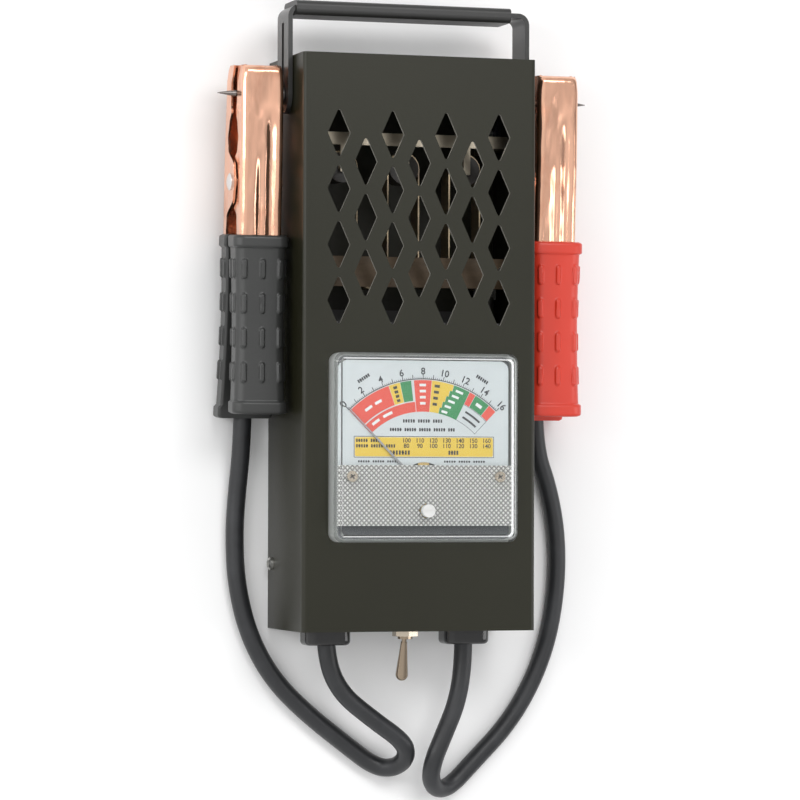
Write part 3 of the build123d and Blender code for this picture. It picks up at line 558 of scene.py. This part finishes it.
class TESTER_OT_load(bpy.types.Operator):
    """Finish the heater load inside the case"""
    bl_idname = "tester.load"
    bl_label = "Load"

    def execute(self, context):
        wear("resistor_ribbon", heater_alloy())
        wear("terminal_board", phenolic_paper())
        wear("support_bar", plain_finish("dull_nickel", (0.62, 0.55, 0.43), 0.3, 1.0, grain=(300, 0.000004)))
        # the ceramic beads are coloured near black
        wear("ceramic_beads", plain_finish(
            "dark_ceramic", (0.03, 0.026, 0.022), 0.3, grain=(1500, 0.00004)))
        wear("heat_shield", plain_finish("shield_sheet", (0.09, 0.09, 0.088), 0.4, 0.6, grain=(120, 0.00003)))
        brass = plain_finish("brass_rod", (0.80, 0.60, 0.28), 0.25, 1.0, grain=(1500, 0.00001))
        for name in ("load_studs", "meter_studs", "meter_nuts", "upper_bridge", "lower_bridge", "hairspring"):
            wear(name, brass)
        wear("meter_wires", plain_finish("red_wire", (0.50, 0.03, 0.02), 0.4))
        for colour in COLOURS:
            wear(colour + "_gland", plain_finish(
                colour + "_gland_nylon", (0.012, 0.012, 0.012), 0.22, grain=(600, 0.00003),
                extra={"Coat Weight": 0.3}))
            wear(colour + "_spring", plain_finish(colour + "_spring_wire", (0.33, 0.32, 0.31), 0.3, 1.0))
        return {"FINISHED"}


# ---------------------------------------------------------------- panel meter
class TESTER_OT_meter(bpy.types.Operator):
    """Finish the meter's housing, lens, card and movement"""
    bl_idname = "tester.meter"
    bl_label = "Meter"

    def execute(self, context):
        wear("meter_base", plain_finish("meter_housing", (0.05, 0.055, 0.06), 0.4))
        wear("meter_lens", clear_plastic())
        wear("dial_plate", dial_card())
        wear("zero_adjuster", plain_finish("adjuster_plastic", (0.70, 0.70, 0.69), 0.3))
        iron = plain_finish("soft_iron", (0.16, 0.16, 0.17), 0.45, 1.0)
        for name in ("magnet_ring", "coil_core", "meter_magnets"):
            wear(name, iron)
        wear("meter_bracket", plain_finish("bracket_zinc", (0.5, 0.5, 0.48), 0.35, 1.0))
        wear("moving_coil", plain_finish(
            "coil_winding", (0.70, 0.28, 0.14), 0.3, 1.0, grain=(9000, 0.00004), stretch=(0.1, 0.1, 1)))
        wear("pointer", plain_finish("pointer_paint", (0.26, 0.26, 0.27), 0.4))
        return {"FINISHED"}


class Print:
    """Flat print on the dial: sectors, bars and numbers of one ink, as one piece."""

    lift = 0.00003

    def __init__(self, context, layer):
        self.settings = context.scene.tester_meter
        self.bm = bmesh.new()
        self.z = DIAL_TOP + layer * self.lift
        self.pivot = PIVOT + PRINT_SHIFT

    def angle(self, value):
        """Angle from 12 o'clock, clockwise, of a number on the scale."""
        ends = self.settings.end_angle
        return -ends + 2 * ends * value / self.settings.scale_end

    def at(self, radius, angle):
        across, up = radius * math.sin(angle), radius * math.cos(angle)
        return Vector((self.pivot.x + across, self.pivot.y + up, self.z))

    def sector(self, low, high, start, end):
        """A piece of ring between two radii and two numbers."""
        a0, a1 = self.angle(start), self.angle(end)
        edge = [self.bm.verts.new(self.at(radius, a0)) for radius in (low, high)]
        line = self.bm.edges.new(edge)
        steps = max(1, int((a1 - a0) / math.radians(1.5)))
        bmesh.ops.spin(self.bm, geom=[*edge, line], cent=self.pivot, axis=(0, 0, -1), angle=a1 - a0,
                       steps=steps)

    def bar(self, centre, width, height, turn=0.0, rounded=0.0):
        """A small rectangle, turned clockwise about its own middle."""
        place = Matrix.Translation((centre[0], centre[1], self.z)) @ Matrix.Rotation(-turn, 4, "Z")
        made = bmesh.ops.create_grid(self.bm, x_segments=1, y_segments=1, size=0.5,
                                     matrix=place @ Matrix.Diagonal((width, height, 1, 1)))
        if rounded:
            bmesh.ops.bevel(self.bm, geom=made["verts"], offset=rounded, segments=5, profile=0.5,
                            affect="VERTICES", material=-1)

    def tick(self, value, low, high, width):
        angle = self.angle(value)
        middle = self.at((low + high) / 2, angle)
        self.bar((middle.x, middle.y), width, high - low, angle)

    def dashes(self, centre, width, height, turn=0.0, pitch=0.0011):
        """A line of small blocks in place of a word."""
        count = max(2, round(width / pitch))
        along = Vector((math.cos(turn), -math.sin(turn)))
        for index in range(count):
            if index % 6 == 5 and count > 7:
                continue
            spot = Vector(centre) + along * ((index + 0.5) / count - 0.5) * width
            self.bar(spot, pitch * 0.62, height, turn)
            if index % 3 == 1:
                self.bar(spot + Vector((0, height * 0.02)), pitch * 0.9, height * 0.3, turn)

    def number(self, text, centre, height, turn=0.0):
        """A number, centred and turned."""
        data = bpy.data.curves.new("number", "FONT")
        data.body = text
        data.size = height * 1.35
        data.offset = height * 0.022
        data.align_x, data.align_y = "CENTER", "CENTER"
        carrier = bpy.data.objects.new("number", data)
        bpy.context.scene.collection.objects.link(carrier)
        bpy.context.view_layer.update()
        mesh = bpy.data.meshes.new_from_object(carrier)
        mesh.transform(Matrix.Translation((centre[0], centre[1], self.z)) @ Matrix.Rotation(-turn, 4, "Z"))
        self.bm.from_mesh(mesh)
        bpy.data.objects.remove(carrier)
        bpy.data.curves.remove(data)
        bpy.data.meshes.remove(mesh)

    def made(self, name, colour):
        """Close the sheet below and turn it into a piece."""
        bmesh.ops.remove_doubles(self.bm, verts=self.bm.verts, dist=1e-7)
        down = [face for face in self.bm.faces if face.normal.z < 0]
        bmesh.ops.reverse_faces(self.bm, faces=down)
        bmesh.ops.solidify(self.bm, geom=self.bm.faces[:], thickness=self.lift * 0.8)
        ink = plain_finish(name + "_ink", colour, 0.42, spread=0.04, grain=(2500, 0.000004))
        return piece(name, self.bm, ink, "case")


LINE = 0.00035                 # width of a printed rule
BLOCK_DEPTH = 0.0057           # of the small sector at the high end of the scale
TABLE_RISE = 0.0182            # from the staff to the middle of the yellow table
TABLE_WIDTH, TABLE_HEIGHT, TABLE_MARGIN, TABLE_CORNER = 0.0628, 0.0089, 0.0007, 0.0008
COLUMN_FROM, COLUMN_PITCH, NUMBER_HEIGHT = -0.0080, 0.00602, 0.0019
STAIRS = 5                     # steps between yellow and green
STAIR_FROM, STAIR_SHIFT = 10.15, 0.24
WORD_LINES = (                 # start, end and radius of the white lines on red
    (1.2, 2.1, 0.0423), (2.5, 3.3, 0.0423), (0.9, 2.0, 0.0357), (2.6, 3.9, 0.0357))
CARD_WORDS = (                 # place from the table's middle, width and height
    (-0.0008, 0.0111, 0.018, 0.0014), (-0.0009, 0.0074, 0.0295, 0.0014),
    (-0.0206, -0.0062, 0.0184, 0.0009), (0.0181, -0.0062, 0.0188, 0.0009))
PANEL_START, PANEL_END = 12.86, 15.98


class TESTER_OT_dial(bpy.types.Operator):
    """Print the bands, ticks and numbers on the dial"""
    bl_idname = "tester.dial"
    bl_label = "Dial print"

    def execute(self, context):
        settings = context.scene.tester_meter
        inner, divide, outer = settings.inner_radius, settings.divide_radius, settings.outer_radius
        block_low = outer - BLOCK_DEPTH

        red = Print(context, 1)
        red.sector(divide + LINE, outer, 0, 4.5)
        red.sector(inner, divide - LINE / 2, 0, 7.0)
        red.sector(inner, outer, 7.08, 8.86)
        red.sector(block_low, outer, 12.84, 13.46)
        red.sector(block_low, outer, 15.14, 16)
        red.made("dial_red", settings.print_red)

        yellow = Print(context, 1)
        green = Print(context, 1)
        yellow.sector(divide + LINE, outer, 4.54, 5.66)
        green.sector(divide + LINE, outer, 5.7, 6.8)
        for step in range(STAIRS):
            low = inner + (outer - inner) * step / STAIRS
            high = inner + (outer - inner) * (step + 1) / STAIRS
            edge = STAIR_FROM + STAIR_SHIFT * step
            yellow.sector(low, high, 8.9, edge)
            green.sector(low, high, edge + 0.04, 12.8)
        green.sector(block_low, outer, 13.5, 15.1)
        table_y = PIVOT.y + TABLE_RISE
        yellow.bar((0, table_y), TABLE_WIDTH - TABLE_MARGIN, TABLE_HEIGHT - TABLE_MARGIN,
                   rounded=TABLE_CORNER)
        yellow.made("dial_yellow", settings.print_yellow)
        green.made("dial_green", settings.print_green)

        white = Print(context, 3)
        for start, end, radius in WORD_LINES:
            white.sector(radius - 0.0006, radius + 0.0006, start, end)
        for row in range(4):
            radius = outer - 0.0021 - row * 0.0026
            white.sector(radius - 0.00055, radius + 0.00055, 7.62, 8.3)
        white.sector(outer - 0.0036, outer - 0.0022, 13.95, 14.65)
        for row in range(STAIRS):
            radius = inner + 0.0013 + row * 0.00256
            start = 10.5 + STAIR_SHIFT * row
            white.sector(radius - 0.0005, radius + 0.0005, start, start + 0.8)
        white.made("dial_white", (0.66, 0.67, 0.67))

        black = Print(context, 2)
        black.sector(outer + LINE, outer + 2 * LINE, 0, settings.scale_end)
        for value in range(settings.scale_end * 5 + 1):
            whole = value % 5 == 0
            reach, width = (0.0024, 0.00032) if whole else (0.0013, 0.0002)
            black.tick(value / 5, outer + LINE, outer + reach, width)
        for value in range(0, settings.scale_end + 1, 2):
            turn = black.angle(value)
            centre = black.at(outer + 0.0037, turn)
            black.number(str(value), (centre.x, centre.y), 0.0030, turn)
        for side in (-1, 1):
            centre = black.at(outer + 0.0075, side * math.radians(29.4))
            black.dashes((centre.x, centre.y), 0.0062, 0.0015, side * math.radians(32))
        for row in range(4):
            black.sector(outer - 0.0022 - row * 0.0019, outer - 0.0010 - row * 0.0019, 4.9, 5.3)
        for row in range(4):
            low = outer - 0.0027 - row * 0.0026
            black.sector(low, low + 0.0012, 9.2, 9.75)
        black.sector(inner, inner + LINE / 2, PANEL_START, PANEL_END)
        black.sector(block_low - LINE, block_low - LINE / 2, PANEL_START, PANEL_END)
        black.tick(PANEL_END, inner, block_low, LINE / 2)
        for row in range(2):
            radius = inner + 0.0021 + row * 0.0026
            black.sector(radius, radius + 0.0009, PANEL_START + 0.5, PANEL_END - 0.5)
        self.table(black, table_y)
        for x, y, width, height in CARD_WORDS:
            black.dashes((x, table_y + y), width, height)
        black.made("dial_black", settings.print_black)
        return {"FINISHED"}

    def table(self, black, middle):
        """Frame and numbers of the yellow table, with blocks for its words."""
        for side in (-1, 1):
            black.bar((0, middle + side * TABLE_HEIGHT / 2), TABLE_WIDTH, LINE * 0.7)
            black.bar((side * TABLE_WIDTH / 2, middle), LINE * 0.7, TABLE_HEIGHT)
        rows = ((0.0027, -0.0253, 0.0108), (0.0004, -0.0218, 0.0178))
        for row, (lift, label, label_width) in enumerate(rows):
            black.dashes((label, middle + lift), label_width, 0.0014)
            for column in range(7):
                place = (COLUMN_FROM + column * COLUMN_PITCH, middle + lift)
                black.number(str(100 - 20 * row + 10 * column), place, NUMBER_HEIGHT)
        for x, span in ((-0.0110, 0.0094), (0.0131, 0.0048)):
            black.dashes((x, middle - 0.0024), span, 0.0018, pitch=0.0013)


KNURL_RISE = 0.4               # height of a pyramid over its width
MASK_BORE = 0.0028             # radius left open for the zero adjuster
MASK_SHEET = 0.0016            # from the mask's underside to the foot of its walls


class TESTER_OT_mask(bpy.types.Operator):
    """Press the knurled mask"""
    bl_idname = "tester.mask"
    bl_label = "Knurled mask"

    def execute(self, context):
        pitch = context.scene.tester_meter.knurl_pitch
        size = MASK_HIGH - MASK_LOW
        middle = (MASK_HIGH + MASK_LOW) / 2
        top = MASK_HIGH.z - pitch * KNURL_RISE
        cells = math.ceil((size.x + size.y) / math.sqrt(2) / pitch)
        bm = bmesh.new()
        place = (Matrix.Translation((middle.x, middle.y, top)) @ Matrix.Rotation(math.radians(45), 4, "Z")
                 @ Matrix.Scale(cells * pitch, 4))
        bmesh.ops.create_grid(bm, x_segments=cells, y_segments=cells, size=0.5, matrix=place)
        bmesh.ops.poke(bm, faces=bm.faces[:], offset=pitch * KNURL_RISE)
        for corner, outward in ((MASK_HIGH, 1), (MASK_LOW, -1)):
            for side in ((outward, 0, 0), (0, outward, 0)):
                bmesh.ops.bisect_plane(bm, geom=bm.verts[:] + bm.edges[:] + bm.faces[:], dist=0.00001,
                                       plane_co=corner, plane_no=side, clear_outer=True)
        bore = (ADJUSTER_LOW + ADJUSTER_HIGH).xy / 2
        open_faces = [f for f in bm.faces if (f.calc_center_median().xy - bore).length < MASK_BORE]
        bmesh.ops.delete(bm, geom=open_faces, context="FACES")
        border = [e for e in bm.edges if e.is_boundary]
        walls = bmesh.ops.extrude_edge_only(bm, edges=border)
        for low in walls["geom"]:
            if isinstance(low, bmesh.types.BMVert):
                low.co.z = MASK_LOW.z + MASK_SHEET
        bmesh.ops.recalc_face_normals(bm, faces=bm.faces[:])
        board = Board("knurled_plastic")
        # height up the pyramids, used only to paint shade: dark in the valleys, light on the tops
        rise = ((board.along("Z") - top) * (1 / (pitch * KNURL_RISE))).clamped()
        cloud = board.noise(60, 3)
        pearl_with_painted_shade = board.finish(board.principled({
            "Base Color": board.between(rise, (0.17, 0.166, 0.158), (0.95, 0.94, 0.92)),
            "Roughness": 0.26 + cloud * 0.06, "Metallic": 0.35}))
        mask = piece("knurled_mask", bm, pearl_with_painted_shade, "case")
        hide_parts("meter_mask")
        return {"FINISHED"}


# ---------------------------------------------------------------- clamps
# Arms and grips are shaped in their clamp's own frame, in millimetres: y runs from the rivet to the nose.
CLAMP_TILT = math.radians(3.73)
WEB_FLAT, WEB_SLOPE, SLOPE_FROM = 12.4, 0.066, -30.0
EDGE = [(-84, 7.5), (-24, 6.2), (-15, 5.4), (-7, -4.2), (0, -5.6), (7, -4.2), (14, 4.6), (19, 5.6), (25, 3.8),
        (30, 1.0), (34, 2.1), (42, 2.2), (46, 1.0), (50, 1.0)]
ARM_BACK_Y, NOSE_Y, NOSE_R = -84.0, 50.0, 3.2
ARM_BEND, FLANGE_REACH = 2.4, 9.0


def web_height(y):
    """Outer face of an arm's web above the parting plane, in millimetres."""
    if y < SLOPE_FROM:
        return WEB_FLAT + (SLOPE_FROM - y) * WEB_SLOPE
    return WEB_FLAT - max(0.0, y - 10) * 0.037


def clamp_piece(bm, colour, level, name, node, material, smooth):
    """Set a half of a clamp, shaped as an upper one, on its rivet in place of a CAD node."""
    if level == "lower":
        bmesh.ops.scale(bm, vec=(1, 1, -1), verts=bm.verts)
        bmesh.ops.reverse_faces(bm, faces=bm.faces[:])
    pivot = Vector(JOINT[colour + "_jaw_open"]["pos_m"])
    place = Matrix.Translation(pivot) @ Matrix.Rotation(CLAMP_TILT, 4, "X") @ Matrix.Scale(MM, 4)
    bmesh.ops.transform(bm, matrix=place, verts=bm.verts)
    body = colour + "_jaw" if level == "upper" else "case"
    made = piece(f"{colour}_{level}_{name}", bm, material, body, smooth=smooth)
    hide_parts(f"{colour}_{level}_{node}")


class TESTER_OT_recesses(bpy.types.Operator):
    """Lay flat dark crosses on the meter's screws, a painted shadow in place of cross recesses"""
    bl_idname = "tester.recesses"
    bl_label = "Screw recesses"

    def execute(self, context):
        low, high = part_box("dial_screws")
        radius = (high.y - low.y) / 2
        bm = bmesh.new()
        for x in (low.x + radius, high.x - radius):
            for turn in (35, 125):
                place = Matrix.Translation((x, (low.y + high.y) / 2, high.z)) @ Matrix.Rotation(
                    math.radians(turn), 4, "Z") @ Matrix.Diagonal((radius * 1.1, radius * 0.22, 0.00006, 1))
                bmesh.ops.create_cube(bm, size=1, matrix=place)
        # painted shadow: the dark crosses stand for the shade inside the screws' recesses
        dark = plain_finish("recess_shadow", (0.05, 0.045, 0.04), 0.5)
        piece("screw_recess_shadows", bm, dark, "case")
        return {"FINISHED"}


class TESTER_OT_arms(bpy.types.Operator):
    """Press the four copper clamp arms"""
    bl_idname = "tester.arms"
    bl_label = "Clamp arms"

    def spine(self, share):
        """Point on the arm's middle line: along the web, round the nose and down its front."""
        round_y = NOSE_Y - NOSE_R
        web_z = web_height(round_y)
        lengths = (round_y - ARM_BACK_Y, NOSE_R * math.pi / 2, web_z - NOSE_R - 1.0)
        run = share * sum(lengths)
        if run <= lengths[0]:
            y = ARM_BACK_Y + run
            return y, web_height(y)
        run -= lengths[0]
        if run <= lengths[1]:
            turn = run / NOSE_R
            return round_y + NOSE_R * math.sin(turn), web_z - NOSE_R * (1 - math.cos(turn))
        return NOSE_Y, web_z - NOSE_R - (run - lengths[1])

    def pressed(self, x, y, half, depth):
        """How far the web is pressed in at a place: two flutes, a dish behind the jaw and slight waves."""
        short = bell(x, -half * 0.10, 1.25) * blended([(-84, 1), (0, 1), (17, 0)], y)
        long = bell(x, half * 0.40, 1.6) * blended([(-84, 1), (20, 1), (33, 0)], y)
        dish = bell(x, half * 0.05, half * 0.6) * bell(y, 37, 7) * 0.4
        wave = 0.07 * (1 + math.sin(y * 0.24 + 0.9) * math.sin(x * 0.55 + y * 0.05))
        return depth * (short * 0.75 + long + dish + wave)

    def arm(self, half, sheet, depth):
        """One channel arm in its own frame, in millimetres, as a closed shell."""
        flat = half - ARM_BEND
        arc = ARM_BEND * math.pi / 2
        reach = flat + arc + FLANGE_REACH
        bm = bmesh.new()
        bmesh.ops.create_grid(bm, x_segments=56, y_segments=150, size=0.5)
        for vert in bm.verts:
            across, share = vert.co.x * 2 * reach, vert.co.y + 0.5
            side = -1 if across < 0 else 1
            y, z = self.spine(share)
            away = abs(across)
            if away <= flat:
                x, drop = away, 0.0
            elif away <= flat + arc:
                turn = (away - flat) / ARM_BEND
                x, drop = flat + ARM_BEND * math.sin(turn), ARM_BEND * (1 - math.cos(turn))
            else:
                x, drop = half, ARM_BEND
            edge_z = min(z - 0.05, blended(EDGE, y)) if y < NOSE_Y - 0.01 else z - 0.05
            if z - drop < edge_z:
                drop = z - edge_z
            if away > flat + arc:
                drop += (z - drop - edge_z) * (away - flat - arc) / FLANGE_REACH
            x -= (max(0.0, y - 43) * 0.11 + blended([(-30, 1.1), (-25, 0)], y)) * x / half
            dent = self.pressed(side * x, y, half, depth) if y < NOSE_Y - NOSE_R else 0.0
            vert.co = (side * x, y, z - drop - dent * max(0.0, 1 - drop / ARM_BEND))
        bmesh.ops.remove_doubles(bm, verts=bm.verts, dist=0.02)
        bmesh.ops.recalc_face_normals(bm, faces=bm.faces[:])
        if sum(f.normal.z * f.calc_area() for f in bm.faces) < 0:
            bmesh.ops.reverse_faces(bm, faces=bm.faces[:])
        bmesh.ops.solidify(bm, geom=bm.faces[:], thickness=sheet)
        return bm

    def execute(self, context):
        settings = context.scene.tester_clamps
        plate = copper(settings)
        sheet, depth = settings.sheet / MM, settings.groove_depth / MM
        for colour in COLOURS:
            for level in ("upper", "lower"):
                low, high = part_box(f"{colour}_{level}_arm")
                bm = self.arm((high.x - low.x) / 2 / MM, sheet, depth)
                clamp_piece(bm, colour, level, "copper", "arm", plate, 40)
        return {"FINISHED"}


GRIP_FRONT_Y, COLLAR, COLLAR_STEP = -22.5, 5.4, 0.8
GRIP_CORNER, GRIP_FOOT = 4.6, 1.2
GRIP_TOP, GRIP_TOP_RISE, GRIP_LOW = 15.0, 3.9, 2.0
GRIP_WAIST, GRIP_END_ROUND, GRIP_CROWN = 0.8, 1.3, 0.7
RIDGE_FLANK = 0.5
RIDGE_ROWS = (-37.0, -51.7, -66.4, -81.1)
RIDGE_LINES = (0.0, 7.9, 14.4, 19.2)


class TESTER_OT_grips(bpy.types.Operator):
    """Mould the four grips, with collars at both ends and rows of ridges"""
    bl_idname = "tester.grips"
    bl_label = "Grips"

    def outline(self, run, half, top, low):
        """Point and outward direction at a distance from the top middle round one side of the sleeve."""
        steps = (half - GRIP_CORNER, GRIP_CORNER * math.pi / 2, top - low - GRIP_CORNER - GRIP_FOOT,
                 GRIP_FOOT * math.pi / 2)
        if run <= steps[0]:
            return run, top, 0.0, 1.0
        run -= steps[0]
        if run <= steps[1]:
            turn = run / GRIP_CORNER
            sin, cos = math.sin(turn), math.cos(turn)
            return half - GRIP_CORNER * (1 - sin), top - GRIP_CORNER * (1 - cos), sin, cos
        run -= steps[1]
        if run <= steps[2]:
            return half, top - GRIP_CORNER - run, 1.0, 0.0
        run -= steps[2]
        if run <= steps[3]:
            turn = run / GRIP_FOOT
            sin, cos = math.sin(turn), math.cos(turn)
            return half - GRIP_FOOT * (1 - cos), low + GRIP_FOOT * (1 - sin), cos, -sin
        return max(0.0, half - GRIP_FOOT - (run - steps[3])), low, 0.0, -1.0

    def ridge_height(self, run, y, settings):
        """Height of a ridge at a place on the sleeve."""
        length, width = settings.bump_length / MM, settings.bump_width / MM
        highest = 0.0
        for row in RIDGE_ROWS:
            away = max(0.0, abs(y - row) - (length - width) / 2)
            if away > width:
                continue
            for line in RIDGE_LINES:
                edge = (width / 2 - math.hypot(run - line, away)) / RIDGE_FLANK
                highest = max(highest, min(1.0, max(0.0, edge)))
        return highest * highest * (3 - 2 * highest)

    def sleeve(self, half, back_y, low_back, settings):
        """One sleeve in its clamp's own frame, in millimetres, as a closed shell."""
        bm = bmesh.new()
        bmesh.ops.create_grid(bm, x_segments=176, y_segments=150, size=0.5)
        rise = settings.ridge_height / MM
        for vert in bm.verts:
            across, share = vert.co.x * 2, 0.5 - vert.co.y
            y = GRIP_FRONT_Y + (back_y - GRIP_FRONT_Y) * share
            top = GRIP_TOP + GRIP_TOP_RISE * share
            low = GRIP_LOW + (low_back - GRIP_LOW) * share
            ends = min(GRIP_FRONT_Y - y, y - back_y)
            collar = blended([(COLLAR - 0.5, 1), (COLLAR + 0.3, 0)], ends) if ends > COLLAR - 0.5 else 1.0
            waist = GRIP_WAIST * math.sin(math.pi * share) * (1 - collar)
            rim = 1 - min(1.0, ends / GRIP_END_ROUND)
            rounding = GRIP_END_ROUND * (1 - math.sqrt(max(0.0, 1 - rim ** 2)))
            grow = COLLAR_STEP * collar - waist - rounding
            width = half + grow
            depth_top = top + grow * 0.8
            length = 2 * width + depth_top - low - (GRIP_CORNER + GRIP_FOOT) * (2 - math.pi / 2)
            run = abs(across) * length
            x, z, out_x, out_z = self.outline(run, width, depth_top, low)
            lift = self.ridge_height(run, y, settings) * rise * (1 - collar) if out_z >= 0 else 0.0
            z -= GRIP_CROWN * (x / width) ** 2 * out_z * (out_z > 0)
            vert.co = ((-1 if across < 0 else 1) * (x + out_x * lift), y, z + out_z * lift)
        bmesh.ops.remove_doubles(bm, verts=bm.verts, dist=0.005)
        rims = [edge for edge in bm.edges if edge.is_boundary]
        bmesh.ops.holes_fill(bm, edges=rims, sides=0)
        bmesh.ops.recalc_face_normals(bm, faces=bm.faces[:])
        return bm

    def execute(self, context):
        settings = context.scene.tester_clamps
        skins = {
            "black": vinyl("black_vinyl", settings.black_colour, 0.38),
            "red": vinyl("red_vinyl", settings.red_colour, 0.34),
        }
        for colour in COLOURS:
            for level, back_y, low_back in (("upper", -99.0, 8.0), ("lower", -102.0, 7.0)):
                low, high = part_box(f"{colour}_{level}_grip")
                half = (high.x - low.x) / 2 / MM - COLLAR_STEP
                bm = self.sleeve(half, back_y, low_back, settings)
                clamp_piece(bm, colour, level, "sleeve", "grip", skins[colour], 50)
        return {"FINISHED"}


# ---------------------------------------------------------------- add-on
class TESTER_PT_panel(bpy.types.Panel):
    """Lists the pieces of the tester"""
    bl_label = "Battery Tester"
    bl_idname = "TESTER_PT_panel"
    bl_space_type = "VIEW_3D"
    bl_region_type = "UI"
    bl_category = "Battery Tester"

    def draw(self, context):
        for operator in OPERATORS:
            self.layout.operator(operator.bl_idname)


SETTINGS = {
    "tester_case": CaseSettings, "tester_meter": MeterSettings, "tester_leads": LeadSettings,
    "tester_clamps": ClampSettings, "tester_stage": StageSettings,
}
OPERATORS = (
    TESTER_OT_stage, TESTER_OT_leads, TESTER_OT_case, TESTER_OT_handle, TESTER_OT_switch, TESTER_OT_load,
    TESTER_OT_meter, TESTER_OT_dial, TESTER_OT_mask, TESTER_OT_recesses, TESTER_OT_arms, TESTER_OT_grips)


def register():
    for cls in (*SETTINGS.values(), *OPERATORS, TESTER_PT_panel):
        bpy.utils.register_class(cls)
    for name, cls in SETTINGS.items():
        setattr(bpy.types.Scene, name, PointerProperty(type=cls))


def unregister():
    for name in SETTINGS:
        delattr(bpy.types.Scene, name)
    for cls in reversed((*SETTINGS.values(), *OPERATORS, TESTER_PT_panel)):
        bpy.utils.unregister_class(cls)


def main():
    register()
    for operator in OPERATORS:
        group, name = operator.bl_idname.split(".")
        getattr(getattr(bpy.ops, group), name)()


if __name__ == "__main__":
    main()
